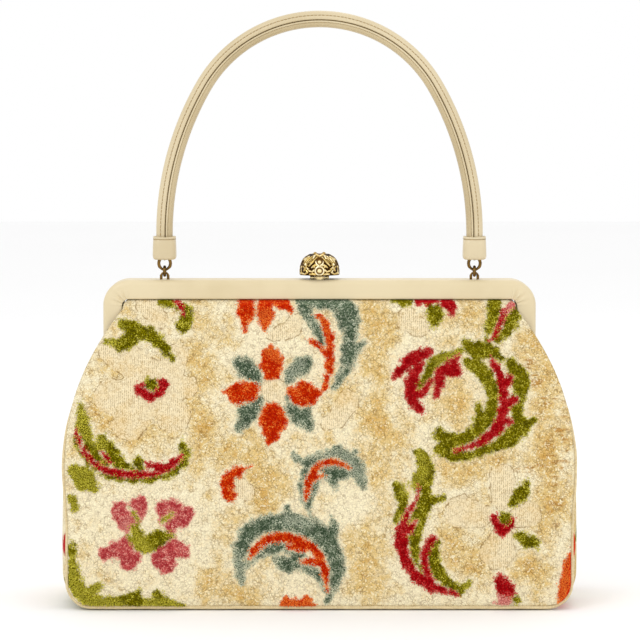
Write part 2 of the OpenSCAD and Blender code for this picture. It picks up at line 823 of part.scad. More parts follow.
module clasp_dome() {
    rim_z = frame_top + rim_gap;
    tab_front = dome_y + dome_d / 2 - dome_wall;
    color(gilt) difference() {
        union() {
            translate([0, dome_y, rim_z]) {
                difference() {
                    rotate_extrude() dome_half(0);
                    rotate_extrude() dome_half(dome_wall);
                }
                bead(bead_low);
                bead(bead_high);
            }
            translate([-knuckle_w / 2, tab_front, rim_z - 0.4])
                cube([knuckle_w, clasp_pin_y - tab_front, knuckle_d / 2 + clasp_pin_z - rim_z + 0.4]);
            translate([0, clasp_pin_y, clasp_pin_z]) rotate([0, 90, 0])
                cylinder(d = knuckle_d, h = knuckle_w, center = true);
        }
        translate([0, clasp_pin_y, clasp_pin_z]) rotate([0, 90, 0])
            cylinder(d = clasp_pin_d + 2 * pin_clear, h = knuckle_w + 2, center = true);
    }
}

module clasp_catch() {
    color(gilt) translate([0, -bow_mid, frame_top]) {
        cylinder(d = stud_d, h = stud_h);
        translate([0, 0, -staple_root]) cylinder(d = stud_root_d, h = staple_root);
    }
}

// Carpet figure

// The figure is drawn as strokes on a draft of small squares, as a weaver's draft is: each point of a stroke is
// [column, row, width], counted in squares from the upper left. The column of the middle and the row of the hem:
draft_mid = 319.5;
draft_hem = 612;
draft_w = panel_w / draft_cols;
draft_h = bar_z / draft_rows;

olive_strokes = [
    [[121, 324, 11], [134, 331, 16], [150, 337, 13], [163, 348, 9], [171, 360, 4]],
    [[105, 342, 7], [119, 346, 13], [130, 337, 14]],
    [[158, 302, 5], [171, 303, 8], [184, 311, 11], [187, 319, 11], [181, 327, 13]],
    [[77, 401, 4], [79, 414, 11], [81, 428, 18], [83, 444, 18], [93, 460, 16], [110, 472, 14],
     [130, 478, 10],
     [150, 479, 9], [168, 474, 9], [182, 463, 9], [187, 454, 7], [181, 444, 6]],
    [[101, 438, 8], [102, 446, 16], [111, 455, 14], [121, 465, 10], [131, 470, 5]],
    [[137, 461, 7], [141, 468, 6]],
    [[134, 518, 6], [135, 534, 11], [145, 545, 17], [157, 540, 19], [169, 537, 8]],
    [[71, 543, 7], [73, 560, 8], [75, 578, 10], [81, 592, 14], [90, 599, 13], [106, 604, 10],
     [124, 606, 10],
     [142, 605, 11], [160, 605, 12], [176, 607, 8], [184, 609, 4]],
    [[138, 594, 7], [137, 602, 8]],
    [[158, 597, 10], [161, 603, 10]],
    [[394, 301, 6], [404, 303, 9], [413, 301, 5]],
    [[436, 308, 10], [436, 316, 16], [434, 322, 11]],
    [[498, 301, 15], [495, 317, 12], [490, 332, 8], [488, 340, 4]],
    [[519, 312, 9], [512, 325, 15], [498, 340, 6]],
    [[466, 343, 6], [477, 352, 16], [490, 351, 15], [500, 358, 7]],
    [[468, 363, 7], [481, 369, 16], [491, 381, 15], [495, 399, 12], [491, 415, 12], [478, 430, 12],
     [463, 440, 12], [449, 443, 18], [440, 434, 12]],
    [[480, 406, 7], [480, 420, 10]],
    [[513, 365, 9], [521, 376, 17], [523, 388, 16], [518, 405, 11], [519, 415, 10], [524, 426, 16],
     [511, 439, 16],
     [494, 447, 9], [472, 456, 7], [453, 457, 8], [441, 449, 12]],
    [[526, 425, 12], [535, 421, 4]],
    [[419, 452, 7], [424, 462, 15], [426, 472, 18], [422, 482, 22], [422, 494, 15], [421, 507, 19],
     [417, 521, 15],
     [415, 534, 11], [415, 549, 10], [417, 562, 9], [422, 573, 7], [426, 580, 4]],
    [[396, 485, 5], [402, 494, 13], [403, 501, 9], [400, 511, 8], [396, 521, 5]],
    [[428, 501, 9], [438, 499, 7], [444, 498, 5]],
    [[437, 543, 4], [434, 553, 9], [434, 566, 11], [441, 577, 11], [450, 586, 10], [461, 590, 8],
     [471, 582, 4]],
    [[527, 484, 6], [520, 495, 14], [513, 504, 6]],
    [[517, 535, 6], [527, 541, 13], [537, 545, 6]],
    [[513, 595, 4], [519, 606, 6]]
];
// Small olive centres that are worked over the crimson eyes and the tulip
olive_inlays = [
    [[150, 385, 13], [151, 386, 12]],
    [[462, 352, 4], [447, 356, 8], [432, 366, 10], [420, 388, 4]],
    [[504, 518, 11], [505, 519, 11]]
];
crimson_strokes = [
    [[175, 301, 6], [180, 308, 6], [182, 315, 3]],
    [[139, 390, 12], [151, 392, 21], [162, 386, 13]],
    [[73, 428, 4], [78, 440, 5], [84, 452, 6], [93, 463, 6], [104, 470, 7], [116, 473, 8], [130, 475, 7],
     [144, 475, 6], [158, 474, 4], [170, 469, 4]],
    [[147, 465, 4], [157, 468, 7], [167, 468, 8], [176, 462, 6], [182, 456, 3]],
    [[101, 452, 4], [110, 463, 4]],
    [[419, 301, 8], [430, 302, 7], [439, 301, 6]],
    [[447, 302, 13], [453, 307, 10], [453, 314, 4]],
    [[506, 312, 6], [502, 325, 7], [496, 337, 5], [491, 341, 3]],
    [[430, 352, 7], [418, 357, 11], [407, 365, 13], [395, 377, 6]],
    [[422, 366, 8], [414, 377, 13], [411, 390, 13], [414, 402, 11], [421, 410, 7]],
    [[418, 395, 10], [427, 388, 9], [430, 382, 6]],
    [[459, 355, 5], [453, 362, 9], [457, 371, 12], [447, 371, 11], [440, 369, 12], [440, 384, 9],
     [437, 395, 6]],
    [[493, 360, 4], [499, 372, 8], [504, 387, 10], [505, 402, 11], [503, 416, 10], [497, 430, 11],
     [484, 441, 8],
     [470, 447, 6], [455, 451, 4]],
    [[506, 388, 7], [512, 378, 6]],
    [[507, 404, 9], [516, 400, 8]],
    [[504, 422, 9], [511, 422, 6]],
    [[419, 488, 3], [416, 498, 5], [411, 509, 6], [405, 519, 6], [402, 529, 11], [401, 540, 13],
     [405, 559, 12],
     [411, 570, 11], [420, 580, 10], [432, 587, 10], [446, 592, 7], [456, 594, 4]],
    [[416, 521, 4], [409, 531, 8]],
    [[434, 538, 5], [428, 545, 9], [424, 554, 9], [424, 563, 8], [427, 573, 8], [432, 583, 6]],
    [[497, 520, 14], [501, 527, 16], [510, 524, 11]],
    [[497, 577, 6], [504, 587, 17], [509, 592, 14]]
];
rose_strokes = [
    [[120, 511, 18], [123, 520, 15], [127, 531, 5]],
    [[138, 504, 17], [137, 513, 18], [131, 521, 9]],
    [[164, 509, 18], [173, 506, 15], [176, 513, 14]],
    [[189, 512, 13], [182, 518, 19], [172, 525, 13], [164, 520, 12]],
    [[106, 555, 12], [116, 550, 17], [124, 541, 9]],
    [[129, 563, 18], [130, 556, 24], [126, 546, 13]],
    [[184, 552, 13], [176, 549, 18], [168, 544, 10]],
    [[166, 564, 20], [163, 556, 25], [161, 551, 12]],
    [[513, 306, 9], [508, 311, 7]],
    [[504, 599, 13], [505, 608, 14]],
    [[486, 610, 5], [494, 607, 9]]
];
orange_strokes = [
    [[246, 302, 18], [244, 314, 16], [243, 322, 10], [244, 331, 2]],
    [[264, 303, 13], [265, 314, 16], [264, 322, 11], [264, 331, 2]],
    [[275, 302, 12], [284, 305, 12], [291, 310, 4]],
    [[271, 346, 3], [271, 356, 18], [271, 365, 26], [272, 371, 18]],
    [[267, 375, 8], [277, 375, 8]],
    [[225, 391, 3], [232, 393, 11], [240, 394, 23], [249, 392, 21], [255, 392, 9]],
    [[292, 393, 10], [297, 394, 19], [303, 395, 26], [311, 394, 17], [319, 394, 3]],
    [[268, 407, 7], [276, 407, 7]],
    [[272, 414, 20], [272, 420, 29], [271, 431, 19], [268, 444, 2]],
    [[309, 308, 4], [318, 315, 7], [325, 324, 9], [329, 337, 9], [331, 353, 8], [330, 367, 8],
     [327, 380, 7],
     [324, 389, 4]],
    [[311, 342, 6], [318, 347, 5], [327, 357, 4]],
    [[250, 468, 4], [240, 470, 8], [230, 476, 11], [226, 485, 13], [228, 494, 13], [232, 499, 8]],
    [[306, 500, 3], [307, 491, 7], [309, 481, 9], [314, 471, 8], [321, 464, 7], [333, 461, 6],
     [344, 465, 5],
     [350, 469, 3]],
    [[313, 479, 7], [322, 475, 4]],
    [[250, 558, 4], [256, 549, 8], [265, 541, 9], [276, 537, 9], [288, 538, 10], [301, 542, 9],
     [312, 548, 9],
     [320, 557, 9], [324, 568, 9], [326, 580, 6], [328, 592, 3]],
    [[289, 547, 6], [302, 549, 8]],
    [[302, 562, 5], [310, 561, 8], [320, 564, 8]],
    [[288, 602, 9], [285, 608, 12]],
    [[307, 602, 10], [309, 608, 13]],
    [[290, 609, 6], [304, 609, 6]],
    [[571, 549, 4], [569, 570, 11], [568, 590, 12], [567, 604, 8]]
];
teal_strokes = [
    [[235, 361, 6], [243, 369, 16], [255, 379, 11]],
    [[310, 360, 6], [300, 367, 16], [289, 378, 11]],
    [[238, 427, 11], [247, 418, 17], [258, 408, 9]],
    [[308, 426, 12], [299, 418, 16], [288, 407, 8]],
    [[301, 302, 10], [320, 302, 14], [340, 304, 18], [347, 313, 22], [351, 323, 19], [351, 335, 12],
     [349, 350, 16],
     [349, 361, 13], [345, 372, 10], [339, 381, 7], [334, 389, 3]],
    [[336, 306, 10], [340, 318, 9], [342, 328, 4]],
    [[352, 352, 9], [358, 348, 7], [364, 344, 3]],
    [[302, 304, 10], [306, 313, 13], [314, 324, 12], [320, 334, 9], [323, 343, 5]],
    [[308, 509, 5], [307, 500, 12], [308, 488, 19], [311, 476, 22], [318, 464, 17], [328, 457, 13],
     [338, 453, 13],
     [347, 456, 12], [356, 469, 17], [361, 480, 10], [363, 488, 3]],
    [[348, 456, 8], [356, 452, 3]],
    [[294, 456, 5], [300, 460, 9], [309, 464, 11]],
    [[322, 472, 10], [334, 474, 14], [347, 472, 14]],
    [[333, 478, 11], [336, 487, 4]],
    [[242, 584, 4], [240, 573, 8], [239, 561, 11], [241, 549, 13], [247, 535, 16], [258, 526, 16],
     [274, 523, 16],
     [290, 522, 18], [305, 526, 20], [319, 534, 20], [331, 547, 18], [336, 560, 17], [337, 573, 14],
     [335, 585, 10],
     [330, 595, 8], [326, 603, 4]],
    [[287, 508, 4], [290, 515, 8], [296, 520, 14]],
    [[333, 519, 4], [333, 527, 9], [331, 540, 14]],
    [[277, 561, 7], [288, 566, 17], [300, 563, 14], [312, 569, 12], [320, 578, 8], [325, 591, 3]],
    [[248, 566, 4], [256, 556, 8], [268, 549, 9], [282, 547, 9], [296, 553, 10], [308, 561, 9]]
];

// Strokes of the figure as flat shapes: discs of the given widths, joined point to point
module strokes(list, grow = 0) {
    function spot(p) = [(p[0] - draft_mid) * draft_w, (draft_hem - p[1]) * draft_h];
    for (s = list, i = [0:len(s) - 2]) hull() for (p = [s[i], s[i + 1]])
        translate(spot(p)) circle(d = p[2] * draft_w + 2 * grow, $fn = 8);
}

// Outline inside which the pile of the front panel may lie
module pile_field() {
    polygon(closed(right_edge(1.5, neck_z - 1)));
}

// Pile of one colour: flat shapes carried back on to the panel's leaning face
module pile() {
    intersection() {
        wall_layer(-pile_h, pile_h - seat_clear / 2, panel_w);
        along_y(body_depth * 2) intersection() {
            pile_field();
            children();
        }
    }
}

module pile_crimson() {
    color("crimson") pile() difference() {
        strokes(crimson_strokes);
        strokes(olive_inlays, pile_gap);
    }
}

module pile_olive() {
    color("olive") pile() {
        difference() {
            strokes(olive_strokes);
            strokes(crimson_strokes, pile_gap);
            strokes(rose_strokes, pile_gap);
        }
        strokes(olive_inlays);
    }
}

module pile_rose() {
    color([0.8, 0.36, 0.42]) pile() difference() {
        strokes(rose_strokes);
        strokes(crimson_strokes, pile_gap);
    }
}

module pile_orange() {
    color("orangered") pile() strokes(orange_strokes);
}

module pile_teal() {
    color([0.45, 0.55, 0.5]) pile() difference() {
        strokes(teal_strokes);
        strokes(orange_strokes, pile_gap);
    }
}

front_panel();
rear_panel();
gusset();
front_welt();
rear_welt();
pile_olive();
pile_crimson();
pile_rose();
pile_orange();
pile_teal();
front_board();
rear_board();
base_board();
lining();
front_bow();
rear_bow();
front_bow_cover();
rear_bow_cover();
left_hinge_rivet();
right_hinge_rivet();
clasp_plate();
clasp_pin();
clasp_dome();
clasp_catch();
left_staple();
right_staple();
left_link();
right_link();
left_ring();
right_ring();
left_keeper();
right_keeper();
handle_strap();
handle_roll();
handle_core();
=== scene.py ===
# %% [markdown]
# # A carpet bag
# A frame handbag of about 1960: a body of floral cut-pile carpet cloth, two hinged bows covered in bone
# leather, an arched leather handle on short gilt chains, and a gilt clasp. The CAD gives every size and every
# joint. This lesson gives the looks, piece by piece, around that frame.

import math

import bmesh
import bpy
import numpy as np
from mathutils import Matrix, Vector
from mathutils.bvhtree import BVHTree


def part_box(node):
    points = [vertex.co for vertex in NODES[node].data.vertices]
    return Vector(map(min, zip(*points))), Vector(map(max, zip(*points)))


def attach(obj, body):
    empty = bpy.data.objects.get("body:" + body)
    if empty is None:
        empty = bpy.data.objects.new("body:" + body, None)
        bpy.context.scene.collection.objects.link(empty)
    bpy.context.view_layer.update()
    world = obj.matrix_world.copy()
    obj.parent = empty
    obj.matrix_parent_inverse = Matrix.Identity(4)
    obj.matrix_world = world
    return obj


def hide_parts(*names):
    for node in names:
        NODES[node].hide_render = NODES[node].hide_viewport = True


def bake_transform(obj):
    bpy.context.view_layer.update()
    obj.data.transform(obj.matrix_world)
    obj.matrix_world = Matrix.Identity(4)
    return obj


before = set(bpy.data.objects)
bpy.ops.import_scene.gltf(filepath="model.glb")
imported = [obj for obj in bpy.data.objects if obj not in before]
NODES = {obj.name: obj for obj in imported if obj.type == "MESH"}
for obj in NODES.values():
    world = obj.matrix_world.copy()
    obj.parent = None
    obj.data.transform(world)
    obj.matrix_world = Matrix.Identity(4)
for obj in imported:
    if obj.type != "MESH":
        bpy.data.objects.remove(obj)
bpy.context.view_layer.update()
MM, MERGE = 0.001, 2e-6

# %% [markdown]
# ## The bag's own geometry
# The panels are flat-cut cloth pulled over boards. They lean in towards the frame along one smooth curve and
# draw in at the sides along another. Both curves are the ones in the CAD, with a little more ease at the
# sides. All of it is in millimetres here, and becomes metres when a mesh is placed.

# %% Body curves
PANEL_W, NECK_HALF, BELLY_Z, NECK_Z, BAR_Z, PANEL_TOP = 307.0, 121.7, 30.0, 182.0, 188.0, 193.0
BASE_Y, NECK_Y, SLOT_Y, CORNER_R, HEM, CLOTH = 52.0, 15.2, 7.3, 14.0, 2.9, 2.2
FRAME_W, FRAME_TOP, BOW_R, BOW_MID, PARTING = 268.0, 200.0, 16.0, 6.2, 0.2
LEAN_POWER, SIDE_POWER, EASE, TUCK = 1.8, 4, 3.4, 4.0


def smooth(t):
    c = np.clip(t, 0, 1)
    return c * c * (3 - 2 * c)


def panel_y(z):
    z = np.asarray(z, float)
    lean = BASE_Y - (BASE_Y - NECK_Y) * (np.clip(z, 0, NECK_Z) / NECK_Z) ** LEAN_POWER
    tuck = np.clip((z - NECK_Z + 2) / (BAR_Z - NECK_Z + 2), 0, 1)
    return SLOT_Y + (lean - SLOT_Y) * np.sqrt(1 - tuck**3)


def ease_out(z):
    """The cloth's edge, eased out a little between belly and neck."""
    z = np.asarray(z, float)
    return EASE * smooth((z - 45) / 50) * smooth((174 - z) / 62)


def side_half(z):
    t = np.clip((np.asarray(z, float) - BELLY_Z) / (NECK_Z - BELLY_Z), 0, 1)
    return PANEL_W / 2 - (PANEL_W / 2 - NECK_HALF) * t**SIDE_POWER + ease_out(z)


def panel_half(z):
    z = np.asarray(z, float)
    low = np.clip(HEM + CORNER_R - z, 0, CORNER_R)
    corner = CORNER_R - np.sqrt(np.maximum(0, CORNER_R**2 - low**2))
    tuck = TUCK * (1 - np.sqrt(np.clip(1 - (np.clip(z - NECK_Z, 0, 6) / 6) ** 2, 0, 1)))
    return side_half(z) - corner - tuck


print("body curves:", [round(float(panel_half(z)), 1) for z in (20, 100, 180)], "mm to each side")


# %% [markdown]
# ## Modelling helpers
# Cloth and leather pieces are all lofts: rows of points that follow a section along a path. A grid primitive
# has the right rows of faces already, so each loft starts as a grid whose points are then moved to their
# places. Points that meet are merged, which closes tubes and ends.


# %% Mesh helpers
def only(obj):
    bpy.ops.object.select_all(action="DESELECT")
    obj.select_set(True)
    bpy.context.view_layer.objects.active = obj
    return obj


def edit_all(obj):
    """Opens the whole of a piece for mesh operators."""
    only(obj)
    bpy.ops.object.mode_set(mode="EDIT")
    bpy.ops.mesh.select_all(action="SELECT")


def flip(obj):
    edit_all(obj)
    bpy.ops.mesh.flip_normals()
    bpy.ops.object.mode_set(mode="OBJECT")


def points_of(obj):
    co = np.empty(len(obj.data.vertices) * 3)
    obj.data.vertices.foreach_get("co", co)
    return co.reshape(-1, 3)


def move_points(obj, co):
    obj.data.vertices.foreach_set("co", co.ravel())
    obj.data.update()


def loft(name, rows, outward=None):
    """A grid whose points are moved to rows[i][j], in millimetres. Points that meet are merged."""
    rows = np.asarray(rows, float)
    nr, nc = rows.shape[:2]
    bpy.ops.object.select_all(action="DESELECT")
    bpy.ops.mesh.primitive_grid_add(x_subdivisions=nc - 1, y_subdivisions=nr - 1, size=1)
    obj = bpy.context.object
    obj.name = obj.data.name = name
    start = points_of(obj)
    col = np.rint((start[:, 0] + 0.5) * (nc - 1)).astype(int)
    row = np.rint((start[:, 1] + 0.5) * (nr - 1)).astype(int)
    move_points(obj, rows[row, col] * MM)
    edit_all(obj)
    bpy.ops.mesh.remove_doubles(threshold=MERGE)
    if outward is None:
        bpy.ops.mesh.normals_make_consistent(inside=False)
    bpy.ops.object.mode_set(mode="OBJECT")
    if outward is not None and np.dot(np.mean([p.normal for p in obj.data.polygons], axis=0), outward) < 0:
        flip(obj)
    bpy.ops.object.shade_smooth()
    return obj


def apply(obj, kind, **settings):
    only(obj)
    mod = obj.modifiers.new(kind.title(), kind)
    for key, value in settings.items():
        setattr(mod, key, value)
    bpy.ops.object.modifier_apply(modifier=mod.name)
    return obj


def add_piece(name, data):
    obj = bpy.data.objects.new(name, data)
    bpy.context.collection.objects.link(obj)
    return obj


def from_faces(name, verts, faces):
    mesh = bpy.data.meshes.new(name)
    mesh.from_pydata(verts, [], faces)
    return add_piece(name, mesh)


def node_copy(node):
    """A copy of a CAD node's mesh with its points merged, open for edits."""
    work = bmesh.new()
    work.from_mesh(NODES[node].data)
    work.transform(NODES[node].matrix_world)
    bmesh.ops.remove_doubles(work, verts=work.verts, dist=MERGE)
    return work


def close_copy(name, work):
    mesh = bpy.data.meshes.new(name)
    work.to_mesh(mesh)
    work.free()
    return add_piece(name, mesh)


def paint(obj, name, values):
    layer = obj.data.attributes.new(name, "FLOAT", "POINT")
    layer.data.foreach_set("value", np.asarray(values, np.float32))


def join(name, parts):
    bpy.ops.object.select_all(action="DESELECT")
    for part in parts:
        part.select_set(True)
    bpy.context.view_layer.objects.active = parts[0]
    bpy.ops.object.join()
    obj = bpy.context.object
    obj.name = obj.data.name = name
    return obj


# %% [markdown]
# A finished piece gets its material, the body that it moves with, and the names of the CAD nodes that it
# stands for, which are hidden. A soft piece is sewn between the body and the rear bow. It gets its material,
# its CAD node is hidden, and its placement is baked into its points.


# %% Placing helpers
def dress(obj, *materials):
    obj.data.materials.clear()
    for material in materials:
        obj.data.materials.append(material)
    return obj


def place(obj, body, material, slot, *nodes):
    if material:
        dress(obj, material)
    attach(obj, body)
    if nodes:
        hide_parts(*nodes)
    print(obj.name, len(obj.data.polygons), "faces")
    return obj


def place_soft(obj, material, node):
    """Cloth sewn to the body below and to the rear bow above: dressed, its CAD node hidden, its placement baked
    into its points.
    """
    if material:
        dress(obj, material)
    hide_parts(node)
    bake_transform(obj)
    print(obj.name, len(obj.data.polygons), "faces, bends with the frame")
    return obj


# %% [markdown]
# ## Colours and materials
# A colour is noted as it looks on a screen and turned into light values. Each material is a few procedural
# patterns on the piece's own coordinates: grain for leather, tufts and clouds for the carpet, dark hollows
# for old gilt. Some colours are painted light. Pale tufts and curls in the carpet are painted highlights, and
# the gaps between its tufts are painted shade. The gilt has painted glints, and its hollows are deepened as
# painted shade. A darker copy of the handle leather and a darkened steel also stand for shade.


# %% Material helpers
def srgb(r, g, b):
    def light(c):
        c /= 255
        return c / 12.92 if c <= 0.04045 else ((c + 0.055) / 1.055) ** 2.4

    return (light(r), light(g), light(b), 1.0)


class Shader:
    """A small wrapper that adds nodes and links them by name."""

    def __init__(self, name):
        self.material = bpy.data.materials.new(name)
        self.material.use_nodes = True
        self.tree = self.material.node_tree
        self.tree.nodes.clear()
        self.out = self.node("ShaderNodeOutputMaterial")
        self.bsdf = self.node("ShaderNodeBsdfPrincipled")
        self.tree.links.new(self.bsdf.outputs[0], self.out.inputs[0])
        self.coords = self.node("ShaderNodeTexCoord").outputs["Object"]

    def node(self, kind, **settings):
        node = self.tree.nodes.new(kind)
        for key, value in settings.items():
            setattr(node, key, value)
        return node

    def put(self, socket, value):
        if isinstance(value, bpy.types.NodeSocket):
            self.tree.links.new(value, socket)
        else:
            socket.default_value = value

    def noise(self, scale, detail=2.0, rough=0.5, vector=None, warp=0.0):
        n = self.node("ShaderNodeTexNoise")
        self.put(n.inputs["Vector"], vector or self.coords)
        self.put(n.inputs["Scale"], scale)
        self.put(n.inputs["Detail"], detail)
        self.put(n.inputs["Roughness"], rough)
        self.put(n.inputs["Distortion"], warp)
        return n.outputs["Fac"]

    def cells(self, scale, vector=None, feature="F1"):
        n = self.node("ShaderNodeTexVoronoi", feature=feature)
        self.put(n.inputs["Vector"], vector or self.coords)
        self.put(n.inputs["Scale"], scale)
        return n.outputs["Distance"]

    def around(self, value, spread):
        """A noise value as a swing about nothing, spread wide."""
        return self.mul(self.math("SUBTRACT", value, 0.5), spread)

    def stretch(self, x, y, z):
        n = self.node("ShaderNodeMapping")
        self.put(n.inputs["Vector"], self.coords)
        n.inputs["Scale"].default_value = (x, y, z)
        return n.outputs[0]

    def math(self, op, a, b=0.0, c=0.0):
        n = self.node("ShaderNodeMath", operation=op)
        for socket, value in zip(n.inputs, (a, b, c)):
            self.put(socket, value)
        return n.outputs[0]

    def mul(self, a, b):
        return self.math("MULTIPLY", a, b)

    def add(self, a, b):
        return self.math("ADD", a, b)

    def ramp(self, value, low, high, to_low=0.0, to_high=1.0):
        n = self.node("ShaderNodeMapRange", interpolation_type="SMOOTHSTEP")
        for socket, v in zip(n.inputs, (value, low, high, to_low, to_high)):
            self.put(socket, v)
        return n.outputs[0]

    def mix(self, a, b, factor, blend="MIX"):
        n = self.node("ShaderNodeMix", data_type="RGBA", blend_type=blend)
        self.put(n.inputs[0], factor)
        self.put(n.inputs[6], a)
        self.put(n.inputs[7], b)
        return n.outputs[2]

    def attribute(self, name):
        return self.node("ShaderNodeAttribute", attribute_name=name).outputs["Fac"]

    def bump(self, height, strength, distance):
        n = self.node("ShaderNodeBump")
        self.put(n.inputs["Height"], height)
        n.inputs["Strength"].default_value = strength
        n.inputs["Distance"].default_value = distance
        self.tree.links.new(n.outputs[0], self.bsdf.inputs["Normal"])

    def finish(self, color, roughness, metallic=0.0, **more):
        self.put(self.bsdf.inputs["Base Color"], color)
        self.put(self.bsdf.inputs["Roughness"], roughness)
        self.put(self.bsdf.inputs["Metallic"], metallic)
        for key, value in more.items():
            self.put(self.bsdf.inputs[key.replace("_", " ")], value)
        return self.material


# %% [markdown]
# ### Bone leather
# Smooth dyed calf that has yellowed a little. It shows a fine pore grain, faint clouds of colour, and a soft
# shine.


# %% Leather, gilt, steel, board, lining, cord
def leather(name, base, dark):
    s = Shader(name)
    clouds = s.noise(22, 3)
    pores = s.cells(1500)
    fine = s.noise(900, 3)
    tint = s.mix(srgb(*base), srgb(*dark), s.ramp(clouds, 0.35, 0.8, 0.0, 0.45))
    tint = s.mix(tint, srgb(*dark), s.ramp(pores, 0.0, 0.22, 0.22, 0.0))
    s.bump(s.add(s.mul(pores, 0.5), s.mul(fine, 0.6)), 0.12, 0.0004)
    return s.finish(tint, s.ramp(fine, 0.3, 0.7, 0.28, 0.38), Specular_IOR_Level=0.5)


def metal(name, bright, dark, rough, patina=0.5):
    s = Shader(name)
    stain = s.noise(260, 4)
    worn = s.noise(60, 2)
    tint = s.mix(srgb(*bright), srgb(*dark), s.ramp(stain, 0.45, 0.75, 0.0, patina))
    s.bump(s.noise(1800, 2), 0.08, 0.0002)
    return s.finish(tint, s.ramp(worn, 0.3, 0.7, rough - 0.06, rough + 0.08), 1.0)


def cast_gilt(name):
    """Gilt that is bright on high relief, with near-white painted glints as highlights, and dark in the
    hollows: patina deepened as painted shade.
    """
    s = Shader(name)
    high = s.add(s.attribute("relief"), s.around(s.noise(700, 3), 0.35))
    # Dark in the hollows: their patina, deepened as painted shade.
    tint = s.mix(srgb(52, 32, 12), srgb(150, 112, 48), s.ramp(high, 0.1, 0.35))
    tint = s.mix(tint, srgb(214, 184, 108), s.ramp(high, 0.28, 0.55))
    # Near-white glints on the highest relief: a painted highlight.
    glint = s.add(high, s.mul(s.noise(420, 2), 0.9))
    tint = s.mix(tint, srgb(252, 238, 196), s.ramp(glint, 0.95, 1.3))
    s.bump(s.noise(1500, 2), 0.08, 0.0002)
    return s.finish(tint, s.ramp(high, 0.1, 0.7, 0.5, 0.2), 1.0)


def cloth(name, base, dark, thread):
    s = Shader(name)
    weft = s.noise(thread, 1, vector=s.stretch(0.15, 1, 1))
    warp = s.noise(thread, 1, vector=s.stretch(1, 1, 0.15))
    weave = s.add(weft, warp)
    tint = s.mix(srgb(*base), srgb(*dark), s.ramp(weave, 0.8, 1.25, 0.5, 0.0))
    s.bump(weave, 0.3, 0.0004)
    return s.finish(tint, 0.85, Sheen_Weight=0.15)


LEATHER = leather("bone_leather", (219, 203, 166), (194, 174, 130))
HANDLE = leather("handle_leather", (213, 197, 162), (184, 164, 123))
# A darker copy of the handle leather: painted shade on the back of the roll, which faces down and away from the
# light.
ROLL_PAINTED_SHADE = leather("roll_leather", (196, 178, 140), (164, 144, 102))
GILT = metal("old_gilt", (246, 226, 172), (178, 134, 66), 0.22)
BRASS = metal("chain_brass", (128, 98, 50), (28, 18, 6), 0.26, 0.9)
# Dark brown for the clasp's dome under the filigree: patina, with painted shade of the hollows.
BRONZE = metal("gilt_hollows_patina_and_shade", (120, 84, 34), (44, 26, 8), 0.38, 0.8)
CAST = cast_gilt("cast_gilt")
# Plated steel painted darker than its own colour: painted shade where the bows show through the gap at the
# frame's inner corners.
STEEL_DARK_AS_SHADE = metal("plated_steel_dark_as_shade", (120, 108, 82), (64, 54, 36), 0.4)
BOARD = cloth("fibre_board", (158, 128, 92), (130, 102, 70), 500)
LINING = cloth("lining_faille", (206, 184, 142), (176, 150, 108), 900)
WELT = cloth("welt_cord", (226, 208, 164), (186, 160, 112), 1500)
BACKING = cloth("cloth_back", (192, 168, 124), (152, 126, 84), 700)
THREAD = cloth("stitch_thread", (176, 150, 104), (128, 102, 60), 3000)
# Dark dye for leather edges. Its strip in the handle's groove also stands for the groove's shade: partly
# painted shade.
EDGE = leather("edge_paint_and_groove_shade", (112, 92, 54), (76, 58, 30))
print("plain materials ready")

# %% [markdown]
# ### Carpet cloth
# The cloth is woven with three kinds of surface. Most of it is cut pile: thousands of short wool tufts. The
# petals of the pale flowers are left as flat ribbed weave. The ground pile runs from ivory to tan in soft
# clouds. The coloured figure comes from the CAD: its five pile solids say where each yarn lies, and the
# distance to their edges is kept on the cloth's points, so the shader can fray each edge by the width of a
# tuft.

# %% Read the figure from the CAD
STEP = 0.5
FX, FZ = np.arange(-160, 160.01, STEP), np.arange(0, 190.01, STEP)
# Each yarn: a dark and a mid dye, and a pale tip colour that is a painted highlight. The dark dye also paints
# the shade between tufts, and at half strength the shade at their roots.
YARN_COLOURS = {
    "teal": ((68, 86, 64), (126, 142, 114), (216, 220, 194)),
    "orange": ((194, 26, 0), (226, 64, 2), (248, 142, 60)),
    "olive": ((94, 86, 0), (146, 136, 0), (218, 208, 76)),
    "rose": ((184, 56, 62), (220, 104, 100), (246, 182, 166)),
    "crimson": ((156, 0, 8), (194, 12, 22), (216, 76, 70)),
}
YARNS = list(YARN_COLOURS)


def covered(node):
    """Which squares of a fine grid a pile solid covers, seen from the front."""
    obj = NODES[node]
    tree = BVHTree.FromPolygons([v.co for v in obj.data.vertices], [p.vertices for p in obj.data.polygons])
    ahead = Vector((0, 1, 0))
    hit = np.zeros((len(FZ), len(FX)), bool)
    for i, z in enumerate(FZ):
        for j, x in enumerate(FX):
            hit[i, j] = tree.ray_cast(Vector((x * MM, -0.2, z * MM)), ahead, 0.3)[0] is not None
    return hit


def edge_distance(mask, reach=10):
    """Millimetres to the edge of a mask: positive inside, negative outside, up to reach squares."""
    near = range(-reach, reach + 1)
    shifts = [(a, b) for a in near for b in near if 0 < a * a + b * b <= reach**2]
    padded = np.pad(mask, reach)
    into = np.full(mask.shape, float(reach))
    out = np.full(mask.shape, float(reach))
    h, w = mask.shape
    for a, b in shifts:
        d = math.hypot(a, b) - 0.5
        other = padded[reach + a : reach + a + h, reach + b : reach + b + w]
        into = np.where(mask & ~other, np.minimum(into, d), into)
        out = np.where(~mask & other, np.minimum(out, d), out)
    return np.where(mask, into, -out) * STEP


